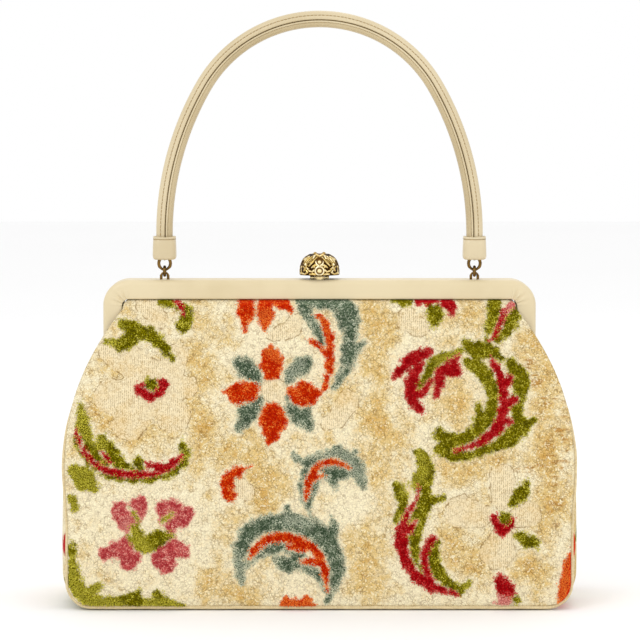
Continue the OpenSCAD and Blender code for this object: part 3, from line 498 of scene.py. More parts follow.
def at(field, x, z):
    """The value of a field at places on the cloth, between its squares."""
    i = np.clip((np.asarray(z) - FZ[0]) / STEP, 0, len(FZ) - 1.001)
    j = np.clip((np.asarray(x) - FX[0]) / STEP, 0, len(FX) - 1.001)
    i0, j0 = i.astype(int), j.astype(int)
    u, v = i - i0, j - j0
    top = field[i0, j0] * (1 - v) + field[i0, j0 + 1] * v
    low = field[i0 + 1, j0] * (1 - v) + field[i0 + 1, j0 + 1] * v
    return top * (1 - u) + low * u


FIGURE = {yarn: edge_distance(covered("pile_" + yarn)) for yarn in YARNS}
print("figure read:", {k: round(float((v > 0).mean()), 3) for k, v in FIGURE.items()})

# %% [markdown]
# The flat petals, the tan clouds, the pale patches and the worn streaks have no solids of their own, because
# they lie in the ground of the cloth. They are set out here as strokes on the same draft that the CAD uses:
# column, row and width, counted in small squares.

# %% Strokes of the ground
DRAFT_W, DRAFT_H = PANEL_W / 503, BAR_Z / 312
PETALS = [
    [[112, 352, 30], [134, 366, 34], [150, 372, 26]],
    [[176, 356, 24], [168, 372, 30], [160, 380, 20]],
    [[110, 396, 34], [130, 394, 30]],
    [[128, 424, 34], [142, 408, 30]],
    [[172, 416, 34], [162, 402, 28]],
    [[186, 388, 22], [174, 388, 24]],
    [[144, 306, 20], [158, 320, 18]],
    [[274, 391, 26], [275, 392, 26]],
    [[274, 336, 14], [290, 330, 20], [298, 320, 14]],
    [[408, 320, 22], [420, 328, 20]],
    [[348, 402, 24], [336, 420, 18], [326, 424, 12]],
    [[236, 486, 16], [246, 492, 18]],
    [[503, 478, 26], [502, 500, 20]],
    [[462, 512, 34], [482, 516, 22]],
    [[530, 514, 24], [518, 518, 20]],
    [[498, 552, 36], [502, 538, 24]],
]
CLOUDS = [
    [[190, 305, 20], [204, 330, 26], [196, 352, 20], [206, 378, 30]],
    [[206, 378, 30], [196, 402, 22], [207, 430, 30], [198, 456, 24]],
    [[366, 305, 26], [384, 332, 30], [372, 360, 20], [388, 386, 26]],
    [[388, 386, 26], [380, 420, 30], [392, 446, 22], [372, 478, 26]],
    [[84, 402, 18], [104, 424, 18], [136, 436, 20], [168, 430, 16]],
    [[126, 366, 12], [112, 374, 10]],
    [[352, 386, 20], [338, 398, 16]],
    [[228, 450, 24], [258, 462, 30], [272, 488, 28], [262, 510, 20]],
    [[535, 344, 26], [552, 372, 34], [540, 400, 26], [556, 430, 34]],
    [[556, 430, 34], [544, 460, 26], [558, 490, 26], [546, 524, 30]],
    [[434, 318, 10], [470, 316, 30], [482, 330, 16]],
    [[450, 470, 30], [478, 462, 24], [500, 458, 20]],
    [[452, 546, 34], [474, 560, 34]],
    [[524, 566, 22], [540, 584, 24]],
    [[360, 540, 34], [366, 570, 40], [372, 596, 30]],
    [[200, 566, 18], [214, 590, 26], [250, 602, 14]],
    [[404, 430, 22], [396, 444, 26]],
    [[446, 388, 40], [462, 404, 30]],
]
PALE = [
    [[92, 500, 34], [110, 545, 44], [150, 580, 46], [196, 560, 30]],
    [[110, 505, 20], [150, 495, 26], [190, 505, 24]],
    [[262, 336, 24], [300, 350, 20], [240, 350, 20]],
    [[404, 355, 26], [392, 410, 20]],
    [[332, 470, 20], [352, 500, 34], [300, 585, 34]],
    [[404, 560, 18], [420, 590, 30]],
    [[560, 575, 14], [556, 600, 20]],
    [[320, 603, 16], [400, 604, 14], [520, 604, 14]],
]
STREAKS = [
    [[528, 362, 20], [548, 396, 36], [556, 430, 36], [558, 470, 26], [556, 520, 18]],
    [[512, 470, 8], [540, 466, 20]],
]
print("ground strokes:", len(PETALS + CLOUDS + PALE + STREAKS))

# %% [markdown]
# The figure runs on a little past the CAD's pile: to the cloth's edges, round the flowers, and under the
# frame bar, where the cloth bends in. Along the light strokes the dye is paler.

# %% Strokes added to the figure
MORE = {
    "olive": [
        [[74, 470, 12], [84, 480, 20], [94, 487, 10]],
        [[72, 500, 8], [74, 508, 8]],
        [[70, 548, 6], [73, 566, 9], [73, 584, 12], [84, 598, 12]],
        [[92, 591, 12], [98, 588, 8]],
        [[133, 512, 5], [138, 520, 5]],
        [[163, 521, 6], [172, 514, 5]],
        [[92, 604, 9], [112, 602, 10], [135, 600, 13], [148, 606, 6], [160, 602, 11], [182, 607, 5]],
        [[131, 538, 8], [139, 546, 12], [152, 546, 13], [167, 538, 8]],
    ],
    "orange": [
        [[576, 546, 8], [572, 566, 18], [569, 588, 23], [566, 605, 17]],
        [[284, 607, 6], [296, 605, 11], [308, 605, 11], [315, 608, 6]],
    ],
    "teal": [
        [[237, 361, 8], [245, 367, 17], [256, 376, 12]],
        [[310, 361, 8], [301, 367, 18], [290, 376, 12]],
        [[241, 424, 9], [245, 413, 17], [256, 402, 12]],
        [[310, 427, 8], [302, 413, 19], [290, 402, 12]],
    ],
}
LIGHT = [
    [[72, 396, 14], [82, 428, 16], [100, 444, 14]],
    [[74, 470, 20], [84, 480, 30], [94, 487, 20]],
    [[72, 500, 16], [73, 510, 12]],
    [[72, 562, 16], [74, 584, 22], [88, 600, 20]],
    [[150, 604, 12], [172, 605, 12]],
    [[92, 591, 18], [100, 600, 18], [120, 606, 10]],
    [[128, 526, 16], [136, 540, 14], [150, 549, 8]],
    [[133, 512, 9], [138, 520, 9]],
    [[163, 521, 9], [172, 514, 9]],
    [[106, 322, 14], [116, 330, 14], [108, 344, 14]],
    [[462, 352, 8], [440, 362, 8]],
    [[420, 456, 12], [424, 472, 12], [404, 492, 10]],
    [[460, 580, 8], [470, 588, 10]],
    [[576, 550, 20], [572, 580, 26], [567, 606, 24]],
    [[265, 316, 14], [264, 330, 8]],
    [[286, 604, 20], [308, 604, 20]],
    [[271, 350, 16], [280, 360, 10]],
    [[314, 318, 8], [327, 332, 6]],
    [[300, 455, 14], [320, 450, 12], [345, 458, 14], [358, 478, 16]],
    [[300, 366, 12], [290, 376, 10]],
    [[236, 556, 10], [244, 580, 12]],
    [[288, 520, 10], [310, 524, 10]],
    [[512, 308, 10], [508, 314, 8]],
    [[498, 606, 16], [508, 600, 10]],
]
UNDER_BAR = {
    "olive": [
        [[158, 302, 5], [171, 303, 8], [184, 311, 11], [187, 319, 11]],
        [[394, 301, 6], [404, 303, 9], [413, 301, 5]],
        [[436, 308, 10], [436, 316, 16]],
        [[498, 301, 15], [495, 317, 12]],
        [[519, 312, 9], [512, 325, 15]],
    ],
    "crimson": [
        [[175, 301, 6], [180, 308, 6], [182, 315, 3]],
        [[419, 301, 8], [430, 302, 7], [439, 301, 6]],
        [[447, 302, 13], [453, 307, 10], [453, 314, 4]],
        [[506, 312, 6], [502, 325, 7]],
    ],
    "rose": [[[513, 306, 9], [508, 311, 7]]],
    "teal": [
        [[301, 302, 10], [320, 302, 14], [340, 304, 18], [347, 313, 22]],
        [[302, 304, 10], [306, 313, 13]],
    ],
    "orange": [
        [[246, 300, 18], [244, 314, 16]],
        [[264, 300, 13], [265, 314, 16]],
        [[275, 300, 12], [284, 305, 12], [291, 310, 4]],
    ],
}
print("strokes added to", list(MORE), "and under the bar to", list(UNDER_BAR))

# %% [markdown]
# Each set of strokes becomes a field of distances, as the CAD's pile did. Where two yarns meet, the upper one
# cuts the lower one back. Seeded noise then makes every edge a little ragged, as cut wool is.


# %% Fields of the figure
def nearest(x, z, ax, az, bx, bz):
    """For each place, the share of the way along a line that lies nearest, and the distance to it."""
    dx, dz = bx - ax, bz - az
    t = np.clip(((x - ax) * dx + (z - az) * dz) / (dx * dx + dz * dz), 0, 1)
    return t, np.hypot(x - ax - t * dx, z - az - t * dz)


def stroke_distance(strokes, x, z):
    """Millimetres inside the nearest stroke (negative outside)."""
    best = np.full(np.shape(x), -40.0)
    for stroke in strokes:
        p = [((c - 319.5) * DRAFT_W, (612 - r) * DRAFT_H, w * DRAFT_W / 2) for c, r, w in stroke]
        for (ax, az, ar), (bx, bz, br) in zip(p, p[1:]):
            t, off = nearest(x, z, ax, az, bx, bz)
            best = np.maximum(best, ar + (br - ar) * t - off)
    return best


GX, GZ = np.meshgrid(FX, FZ)


def field_of(strokes, low=-5, high=5):
    return np.clip(stroke_distance(strokes, GX, GZ), low, high)


BAR_STRIP = {yarn: field_of(strokes) for yarn, strokes in UNDER_BAR.items()}
for over in ("crimson", "rose"):
    BAR_STRIP["olive"] = np.minimum(BAR_STRIP["olive"], -0.2 - BAR_STRIP[over])
BAR_STRIP["teal"] = np.minimum(BAR_STRIP["teal"], -0.2 - BAR_STRIP["orange"])
for yarn, field in BAR_STRIP.items():
    FIGURE[yarn] = np.where(GZ > 179, field, FIGURE[yarn])
for yarn, strokes in MORE.items():
    FIGURE[yarn] = np.maximum(FIGURE[yarn], field_of(strokes))
FIGURE["rose"] = np.minimum(FIGURE["rose"], 0.2 - field_of(MORE["olive"]))
FIGURE["teal"] = np.minimum(FIGURE["teal"] + 0.35, 0.1 - FIGURE["orange"])
FIGURE["olive"] = np.minimum(FIGURE["olive"] + 0.3, 0.1 - np.maximum(FIGURE["crimson"], FIGURE["rose"]))
FIGURE["light"] = field_of(LIGHT)
ragged = np.random.default_rng(7).normal(size=GX.shape)
for _ in range(2):
    for axis in (0, 1):
        ragged = sum(np.roll(ragged, k, axis) for k in range(-2, 3))
ragged *= 0.6 / ragged.std()
for yarn in YARNS:
    FIGURE[yarn] = FIGURE[yarn] + ragged
FIGURE["petal"] = field_of(PETALS) + 0.8 * ragged
FIGURE["cloud"] = field_of(CLOUDS, -6, 6) - (field_of(PALE, -3, 4) + 3)
FIGURE["cloud"] -= 6 * smooth(1 + np.max([FIGURE[yarn] for yarn in YARNS], axis=0) / 4)
FIGURE["streak"] = field_of(STREAKS, -5, 8)
print("fields:", list(FIGURE))


def lay_figure(obj, x, z, without=(), **spots):
    """Keeps the distances on the points of a piece of cloth, at places x, z of the draft."""
    for name, field in FIGURE.items():
        values = np.full(len(x), -9.0) if name in without else at(field, x, z)
        paint(obj, name, np.maximum(values, spots.get(name, -99.0)))


# %% [markdown]
# The shader mixes the ground first, then lays each yarn over it. A yarn is never one colour: every tuft
# differs a little, and the dye drifts over a few millimetres. Some of the colour is painted light: the pale tip
# colour on the lighter tufts is a painted highlight, the gaps between tufts are darkened as painted shade, and
# near-white curls in the ground are painted highlights.


# %% Carpet material
def carpet():
    s = Shader("carpet_cloth")
    cell = s.node("ShaderNodeTexVoronoi")
    s.put(cell.inputs["Vector"], s.coords)
    s.put(cell.inputs["Scale"], 1150.0)
    parts = s.node("ShaderNodeSeparateColor")
    s.put(parts.inputs[0], cell.outputs["Color"])
    tone, other = parts.outputs[0], parts.outputs[1]
    # gap is high between the cells of the pile: it lowers the bump there and darkens the colour as painted
    # shade.
    gap = s.ramp(cell.outputs["Distance"], 0.3, 0.75)
    drift = s.noise(120, 3)
    fray = s.around(tone, 1.7)

    def inside(name, soft=0.5, fringe=1.0):
        return s.ramp(s.math("MULTIPLY_ADD", fray, fringe, s.attribute(name)), -soft, soft)

    wide, mottle = s.around(s.noise(70, 3, 0.6), 38), s.around(s.noise(170, 3, 0.65), 30)
    cloud = s.add(s.add(wide, mottle), s.math("MULTIPLY_ADD", fray, 2.0, s.attribute("cloud")))
    ground = s.mix(srgb(250, 238, 202), srgb(233, 203, 136), s.ramp(cloud, -13, 6, 0.0, 1.0))
    ground = s.mix(ground, srgb(216, 170, 88), s.ramp(cloud, 3, 15, 0.0, 0.9))
    streak = s.ramp(s.noise(420, 2, vector=s.stretch(0.3, 1, 1)), 0.5, 0.66)
    streak = s.mul(streak, s.ramp(s.attribute("streak"), -3, 6, 0.0, 0.9))
    ground = s.mix(ground, srgb(190, 138, 62), streak)
    shade = s.mix(ground, srgb(124, 90, 38), s.ramp(cloud, -14, 2, 0.5, 0.68))
    curl = s.noise(430, 2, 0.5, warp=1.4)
    warp = s.node("ShaderNodeTexNoise")
    s.put(warp.inputs["Vector"], s.coords)
    s.put(warp.inputs["Scale"], 420.0)
    moved = s.node("ShaderNodeVectorMath", operation="MULTIPLY_ADD")
    s.put(moved.inputs[0], warp.outputs["Color"])
    moved.inputs[1].default_value = (0.003, 0.003, 0.003)
    s.put(moved.inputs[2], s.coords)
    loops = s.cells(500, moved.outputs[0], "DISTANCE_TO_EDGE")
    dark_curl = s.mul(s.ramp(loops, 0.12, 0.03), s.ramp(s.noise(300, 2), 0.36, 0.6, 0.2, 1.0))
    ground = s.mix(ground, shade, s.ramp(tone, 0.4, 0.0, 0.0, 0.35))
    # Near-white curls on the ground pile: a painted highlight.
    lit_curl = s.ramp(s.math("MULTIPLY_ADD", tone, 0.2, curl), 0.6, 0.82, 0.0, 0.8)
    ground = s.mix(ground, srgb(255, 246, 212), lit_curl)
    # Painted shade in the gaps between tufts.
    ground = s.mix(ground, shade, s.mul(gap, 0.25))
    ground = s.mix(ground, shade, dark_curl)

    rib = s.node("ShaderNodeTexWave", wave_type="BANDS", bands_direction="X")
    s.put(rib.inputs["Vector"], s.coords)
    s.put(rib.inputs["Scale"], 260.0)
    s.put(rib.inputs["Distortion"], 2.4)
    s.put(rib.inputs["Detail"], 1.5)
    dots = s.ramp(s.noise(1000, 1, vector=s.stretch(0.6, 1, 1)), 0.38, 0.62, 0.0, 1.0)
    line = s.mul(s.ramp(rib.outputs["Fac"], 0.5, 0.0), dots)
    weave = s.mix(srgb(232, 215, 176), srgb(132, 100, 52), s.mul(line, 0.75))
    weave = s.mix(weave, srgb(222, 190, 130), s.ramp(cloud, -8, 10, 0.0, 0.6))
    weave = s.mix(weave, srgb(255, 246, 216), s.ramp(tone, 0.6, 1.0, 0.0, 0.3))
    weave = s.mix(weave, shade, s.mul(dark_curl, 0.7))
    petal = inside("petal", 0.9, 1.0)
    rim = s.math("ABSOLUTE", s.attribute("petal"))
    rim = s.mul(s.ramp(rim, 0.5, 0.1), s.ramp(s.noise(300, 2), 0.4, 0.58, 0.0, 0.7))
    tint = s.mix(s.mix(ground, weave, petal), srgb(138, 106, 56), rim)

    covered_by = 0.0
    for name, (dark, mid, tip) in YARN_COLOURS.items():
        dye = s.add(drift, s.mul(other, 0.8))
        yarn = s.mix(srgb(*dark), srgb(*mid), s.ramp(dye, 0.5, 1.2))
        # The pale tip colour on the lighter tufts is a painted highlight.
        yarn = s.mix(yarn, srgb(*tip), s.ramp(tone, 0.6, 1.0, 0.0, 0.8))
        # Painted shade in the gaps between tufts, in the yarn's dark dye.
        yarn = s.mix(yarn, srgb(*dark), s.mul(gap, 0.6))
        mask = inside(name, 0.7)
        tint = s.mix(tint, yarn, mask)
        covered_by = s.math("MAXIMUM", covered_by, mask)
    flat = s.mul(petal, s.math("SUBTRACT", 1.0, covered_by))
    pile = s.math("SUBTRACT", s.mul(tone, 0.5), gap)
    height = s.mix(pile, s.mul(rib.outputs["Fac"], 0.25), flat)
    s.bump(height, 0.5, 0.0008)
    return s.finish(tint, 0.95, Specular_IOR_Level=0.08)


CARPET = carpet()
print("carpet ready")

# %% [markdown]
# ## The panels
# Front and rear are each one piece of cloth, cut to the outline, pulled over a board and clenched in the
# frame's channel. The pile stands up about a millimetre where there is yarn, the flat petals lie lower, and
# the rim rolls back to the welt.


# %% Panels
def face_depth(x, z, side):
    """How far the face of a panel stands from the middle plane, with the relief of its pile."""
    fx, fz = -side * x, np.minimum(z, 187.5)
    edge = np.minimum(np.minimum(panel_half(z) - np.abs(x), z - HEM + 0.4), 40)
    roll = 1.3 * np.clip(1 - edge / 6, 0, 1) ** 2
    stand = np.max([smooth((at(FIGURE[y], fx, fz) + 0.6) / 1.6) for y in YARNS], axis=0)
    dip = smooth((at(FIGURE["petal"], fx, fz) + 1.0) / 2.0) * (1 - stand)
    ease = smooth(edge / 4) * (1 - smooth((z - 182) / 5))
    slack = 0.5 * np.sin(x / 23 + 1.3) * np.sin(z / 31) + 0.35 * np.sin(x / 47 - z / 39)
    return panel_y(z) - roll + ease * (0.6 * stand - 0.45 * dip + 0.5 * np.abs(slack))


def panel(name, side):
    nx, nz = 262, 165
    z = np.linspace(HEM, PANEL_TOP, nz)[:, None] * np.ones((1, nx))
    x = np.linspace(-1, 1, nx)[None, :] * panel_half(z)
    obj = loft(name, np.stack([x, side * face_depth(x, z, side), z], axis=-1), outward=(0, side, 0))
    co = points_of(obj) / MM
    lay_figure(obj, -side * co[:, 0], co[:, 2])
    return apply(dress(obj, CARPET, BACKING), "SOLIDIFY", thickness=1.3 * MM, offset=-1, material_offset=1)


front = place(panel("front_panel_cloth", -1), "bag", None, "carpet", "front_panel")
rear = place_soft(panel("rear_panel_cloth", 1), None, "rear_panel")

# %% [markdown]
# ## The pile figure
# Each coloured area is cut pile: short stubs of wool that stand on the cloth, lean a little at random and
# thin out at the edges. One stub is a small four-sided prism with a cut tip. Every stub keeps its own tone,
# and its place in the texture map, so that its colour stays with it.


# %% Yarn
def yarn_material(name, dark, mid, tip):
    s = Shader(name + "_yarn")
    drift = s.noise(230, 2)
    tone = s.add(s.attribute("tone"), s.around(drift, 2.2))
    tint = s.mix(srgb(*dark), srgb(*mid), s.ramp(tone, 0.1, 0.7))
    # The pale tip colour on the lighter tufts is a painted highlight.
    tint = s.mix(tint, srgb(*tip), s.ramp(tone, 0.62, 1.15, 0.0, 0.9))
    tint = s.mix(tint, srgb(*tip), s.mul(s.attribute("light"), 0.5))
    pale = tuple((t * 2 + c) / 3 for t, c in zip(tip, (238, 222, 184)))
    worn = s.math("MULTIPLY_ADD", tone, -0.4, s.attribute("rim"))
    tint = s.mix(tint, srgb(*pale), s.ramp(worn, 0.55, -0.2, 0.0, 0.8))
    # The roots are darkened to half the dark dye: painted shade deep in the pile.
    root = tuple(c * 0.5 for c in dark)
    tint = s.mix(srgb(*root), tint, s.ramp(s.attribute("tip"), 0.0, 0.7))
    s.bump(s.noise(1500, 2, 0.7), 0.2, 0.0004)
    return s.finish(tint, 0.95, Specular_IOR_Level=0.05)


# %% [markdown]
# The roots lie on a seeded, jittered grid, and only places inside the yarn's field are kept. Near the
# figure's edges and under the bar the stubs are shorter.


# %% Tufts
def tufts(name, yarn, side=-1, pitch=0.85):
    rng = np.random.default_rng(sum(map(ord, yarn)))
    gx, gz = np.meshgrid(np.arange(-154, 154, pitch), np.arange(3.5, 187, pitch * 0.87))
    gx[1::2] += pitch / 2
    x = (gx + rng.normal(0, 0.17, gx.shape)).ravel()
    z = (gz + rng.normal(0, 0.17, gz.shape)).ravel()
    near = at(FIGURE[yarn], -side * x, z)
    keep = (near + rng.normal(0, 0.6, x.size) > -0.2) & (panel_half(z) - np.abs(x) > 1.0) & (z < 185.5)
    x, z, near = x[keep], z[keep], near[keep]
    n = len(x)
    y = face_depth(x, z, side)
    slope = face_depth(x, z + 0.5, side) - face_depth(x, z - 0.5, side)
    out = np.stack([np.zeros(n), np.full(n, float(side)), -slope], axis=1)
    out /= np.linalg.norm(out, axis=1)[:, None]
    root = np.stack([x, side * y, z], axis=1)
    lean = np.stack([rng.normal(0, 0.2, n), np.zeros(n), rng.normal(-0.08, 0.2, n)], axis=1)
    height = rng.uniform(0.55, 1.0, n) * (0.6 + 0.4 * smooth((near + 0.5) / 2))
    height *= 1 - 0.6 * smooth((z - 181) / 5)
    turn = rng.uniform(0, math.pi / 2, n)
    rings = []
    for level, radius in ((-0.4, 0.44), (1.0, 0.36)):
        for k in range(4):
            a = turn + k * math.pi / 2
            ring = np.stack([np.cos(a), np.zeros(n), np.sin(a)], axis=1) * radius
            rings.append(root + ring + out * (height * level)[:, None] + lean * max(level, 0))
    verts = np.stack(rings, axis=1).reshape(-1, 3) * MM
    quads = [(4, 5, 6, 7)] + [(k, (k + 1) % 4, 4 + (k + 1) % 4, 4 + k) for k in range(4)]
    faces = (np.arange(n)[:, None, None] * 8 + np.array(quads)[None]).reshape(-1, 4)
    obj = from_faces(name, verts.tolist(), faces.tolist())
    if np.mean([p.normal.y for p in list(obj.data.polygons)[::5]]) * side < 0:
        flip(obj)
    paint(obj, "tone", np.repeat(rng.uniform(0, 1, n), 8))
    paint(obj, "tip", np.tile([0.0] * 4 + [1.0] * 4, n))
    paint(obj, "light", np.repeat(smooth((at(FIGURE["light"], -side * x, z) + 1.5) / 3), 8))
    paint(obj, "rim", np.repeat(smooth((near + 0.8) / (5.4 if yarn == "teal" else 3.0)), 8))
    cells = math.ceil(math.sqrt(n))
    corner = np.array([(0.2, 0.2), (0.8, 0.2), (0.8, 0.8), (0.2, 0.8)])
    which = np.repeat(np.arange(n), 5)
    uv = (np.stack([which % cells, which // cells], axis=1)[:, None, :] + corner[None]) / cells
    layer = obj.data.uv_layers.new(name="OFBake")
    layer.data.foreach_set("uv", uv.astype(np.float32).ravel())
    return obj


for yarn, shades in YARN_COLOURS.items():
    pile = tufts("pile_tufts_" + yarn, yarn)
    place(pile, "bag", yarn_material(yarn, *shades), yarn + "_yarn", "pile_" + yarn)

# %% [markdown]
# ## The gusset
# One long strip makes both sides and the bottom. It swells a little between its seams, sags to a flat resting
# face below, and dips between the hinges above.

# %% Gusset
GUSSET_TOP, GUSSET_DIP, SWELL, FLAT, SEAM_IN = 159.0, 14.0, 6.5, 0.8, 5.4


def seam(v):
    """The seam's path at the share v of the depth: x, z, outward direction, and how far it is a bottom."""
    top, low = GUSSET_TOP - GUSSET_DIP * (1 - abs(v)), HEM + CORNER_R
    right = [(float(side_half(z)), z, 1.0, 0.0, 0.0) for z in np.linspace(top, low, 70)]
    for a in np.radians(np.linspace(5, 90, 18)):
        z = HEM + CORNER_R * (1 - math.sin(a))
        x = float(side_half(z)) - CORNER_R * (1 - math.cos(a))
        right.append((x, z, math.cos(a), -math.sin(a), a / (math.pi / 2)))
    end = right[-1]
    bottom = [(x, end[1], 0.0, -1.0, 1.0) for x in np.linspace(end[0], -end[0], 110)[1:-1]]
    left = [(-x, z, -nx, nz, b) for x, z, nx, nz, b in reversed(right)]
    return right + bottom + left


def gusset():
    rows = []
    for v in np.linspace(-1, 1, 42):
        row = []
        for x, z, nx, nz, b in seam(v):
            full = max(0.0, SWELL * float(smooth((165 - z) / 75)) - float(ease_out(z)))
            swell = full * (1 - v * v) * (1 - b) + HEM * min(1, (1 - abs(v)) / (1 - FLAT)) * b
            wave = 0.35 * math.sin(z / 17 + 2 * v) * (1 - b) * (1 - v * v)
            y = v * (float(panel_y(z)) - SEAM_IN)
            row.append((x + (swell + wave) * nx, y, max(0.02, z + (swell + wave) * nz)))
        rows.append(row)
    obj = loft("gusset_cloth", rows)
    co = points_of(obj) / MM
    if sum(p.normal.x * p.center.x for p in obj.data.polygons) < 0:
        flip(obj)
    x, y, z = co.T
    down = panel_y(z) - SEAM_IN + y
    below = z < HEM + 2
    spot = 8 - np.hypot(z - 38, (y + 40) * 0.5)
    place_x = np.where(below, x, np.sign(x) * (151 - down))
    place_z = np.where(below, down + 4, z)
    far = 50.0
    lay_figure(obj, place_x, place_z, ("petal",), orange=spot - far * (x < 0), crimson=spot - far * (x > 0))
    return apply(dress(obj, CARPET, BACKING), "SOLIDIFY", thickness=1.4 * MM, offset=-1, material_offset=1)


strip = place_soft(gusset(), None, "gusset")

# %% [markdown]
# ## The welts
# A thin cord runs in each seam. It is a round tube along the seam's path, with the slight twist of spun cord.


# %% Welts
def cord_loft(name, path, radius, sides=10, twist=0.0):
    """A round cord along a path of points, with rounded ends."""
    path = np.asarray(path, float)
    way = np.gradient(path, axis=0)
    way /= np.linalg.norm(way, axis=1)[:, None]
    up = np.array([0.0, 1.0, 0.0])
    u = up - way * (way @ up)[:, None]
    u /= np.linalg.norm(u, axis=1)[:, None]
    w = np.cross(way, u)
    turn = np.linspace(0, 2 * math.pi, sides + 1)
    rows = []
    for i in range(len(path)):
        r = radius * (1 + twist * np.sin(2 * turn + i * 1.1))
        rows.append(path[i] + r[:, None] * (np.cos(turn)[:, None] * u[i] + np.sin(turn)[:, None] * w[i]))
    rows = [np.repeat(path[:1], sides + 1, 0)] + rows + [np.repeat(path[-1:], sides + 1, 0)]
    return loft(name, rows)


def welt(name, side):
    path = []
    for x, z, nx, nz, b in seam(1)[::2]:
        off = 0.6 - 2.4 * float(smooth((z - 95) / 45))
        path.append((x + off * nx, side * (float(panel_y(z)) - CLOTH - 1.6 + 1.5 * b), z + off * nz - 0.35 * b))
    return cord_loft(name, path, 1.25, 10, 0.06)


place(welt("front_welt_cord", -1), "bag", WELT, "welt", "front_welt")
place_soft(welt("rear_welt_cord", 1), WELT, "rear_welt")

# %% [markdown]
# ## Leather on the bows
# A strip of leather is drawn round each steel channel and turned in at both edges. Round the corners the
# inner edge has too much leather, so it gathers into short pleats.


# %% Bow covers
def bow_section():
    """Outline of the leather: depth below the outer edge, and distance from the parting."""
    pts = [(12.0, 0.5), (11.4, 0.0), (8.0, 0.0), (4.0, 0.0), (0.8, 0.0), (0.25, 0.2), (0.0, 0.8), (0.0, 4.0)]
    pts += [(0.0, 7.5)]
    pts += [(3.4 - 3.4 * math.cos(a), 8.6 + 3.4 * math.sin(a)) for a in np.radians([0, 18, 36, 54, 72, 90])]
    pts += [(u, 12.0 + 0.22 * math.sin(math.pi * (u - 3.4) / 8)) for u in np.linspace(4.2, 11.0, 10)]
    pts += [(11.6, 11.85), (12.0, 11.4), (11.9, 10.9), (8.0, 10.85), (1.3, 10.6), (1.3, 5.0), (1.3, 1.3)]
    pts += [(8.0, 1.25), (11.9, 1.2)]
    return pts + [pts[0]]


def bow_cover(name, side):
    section = bow_section()
    stations = [("leg", z) for z in np.linspace(152, 183, 16)]
    stations += [("corner", math.radians(a)) for a in np.linspace(0, 90, 46)]
    stations += [("bar", x) for x in np.linspace(FRAME_W / 2 - BOW_R - 2, 0, 50)]
    rows = []
    for kind, where in stations:
        row = []
        for u, v in section:
            pleat = 0.0
            if kind == "leg":
                x, z = FRAME_W / 2 - u, where
            elif kind == "bar":
                x, z = where, FRAME_TOP - u
            else:
                x = FRAME_W / 2 - BOW_R + (BOW_R - u) * math.cos(where)
                z = FRAME_TOP - BOW_R + (BOW_R - u) * math.sin(where)
                gather = smooth((u - 2.5) / 6) * smooth((13.5 - u) / 4) if v > 11 else 0.0
                pleat = 0.55 * gather * math.sin(where * 15 + 0.6) * math.sin(2 * where) ** 0.5
            row.append((x, side * (PARTING + v + pleat), z))
        rows.append(row)
    rows = np.array(rows)
    obj = loft(name, np.concatenate([rows, rows[::-1][1:] * np.array([-1, 1, 1])]))
    edit_all(obj)
    bpy.ops.mesh.fill_holes(sides=0)
    bpy.ops.mesh.normals_make_consistent(inside=False)
    bpy.ops.object.mode_set(mode="OBJECT")
    return obj


place(bow_cover("front_bow_leather", -1), "bag", LEATHER, "leather", "front_bow_cover")
place(bow_cover("rear_bow_leather", 1), "rear_frame", LEATHER, "leather", "rear_bow_cover")

# %% [markdown]
# ## The handle
# Two strips of leather lie back to back round a spring strip. The outer one is flat and stitched along its
# middle, and the inner one is rolled. A sleeve covers each end.

# %% Handle
SIDE_R, ARC, CHAIN_X, HANDLE_T = 187.4, 60.0, 96.0, 10.2
EDGE_X = CHAIN_X + HANDLE_T / 2
SIDE_X = EDGE_X - SIDE_R
TOP_R = SIDE_R + SIDE_X / math.sin(math.radians(ARC))
KEEPER = [v / MM for v in np.ravel(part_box("right_keeper"))]
END_Z = KEEPER[5] + 1.2
TOP_Z = END_Z + (SIDE_R - TOP_R) * math.cos(math.radians(ARC))


def handle_path(foot, step):
    """Places along the handle's outer edge, right to left: x, z, angle of the outward direction."""

    def arc(x, z, r, start, end):
        turn = np.radians(np.linspace(start, end, int(math.radians(end - start) * r / step)))
        return [(x + r * math.cos(a), z + r * math.sin(a), a) for a in turn]

    leg = [(EDGE_X, z, 0.0) for z in np.arange(foot, END_Z, step)]
    right = leg + arc(SIDE_X, END_Z, SIDE_R, 0, 90 - ARC) + arc(0, TOP_Z, TOP_R, 90 - ARC, 90)[1:]
    return right + [(-x, z, math.pi - a) for x, z, a in right[-2::-1]]


def handle_loft(name, section):
    rows = []
    for x, z, a in handle_path(KEEPER[2] + 4.6, 1.6):
        rows.append([(x - u * math.cos(a), y - BOW_MID, z - u * math.sin(a)) for u, y in section + section[:1]])
    middle = np.mean(np.array(rows)[:, :-1], axis=1)
    caps = np.repeat(middle[:, None, :], len(section) + 1, axis=1)
    return loft(name, [caps[0]] + rows + [caps[-1]])


def mirrored(half):
    return half + [(u, -y) for u, y in reversed(half)]


strap = mirrored([
    (0.0, 1.0), (0.08, 2.4), (0.5, 3.6), (1.2, 4.4), (2.0, 4.85), (2.5, 4.9), (2.85, 4.5), (3.2, 4.92),
    (4.2, 5.0), (4.9, 4.9), (5.3, 4.5), (5.45, 4.0), (5.45, 2.0),
])
# A dark strip between strap and bead: dyed leather edge, and painted shade of the groove.
edge_paint_and_shade_line = mirrored([(5.35, 2.0), (5.35, 4.1), (6.05, 4.1), (6.05, 2.0)])
bead = mirrored([(6.0, 2.0), (6.0, 4.3), (6.2, 4.75), (6.6, 4.9), (7.0, 4.7), (7.15, 4.2), (7.15, 2.0)])
roll = mirrored([(7.1, 1.5), (7.1, 4.0), (7.4, 4.35), (8.2, 4.3), (9.0, 3.8), (9.8, 2.8), (10.2, 1.4)])
place(handle_loft("handle_strap_leather", strap), "handle", HANDLE, "leather", "handle_strap")
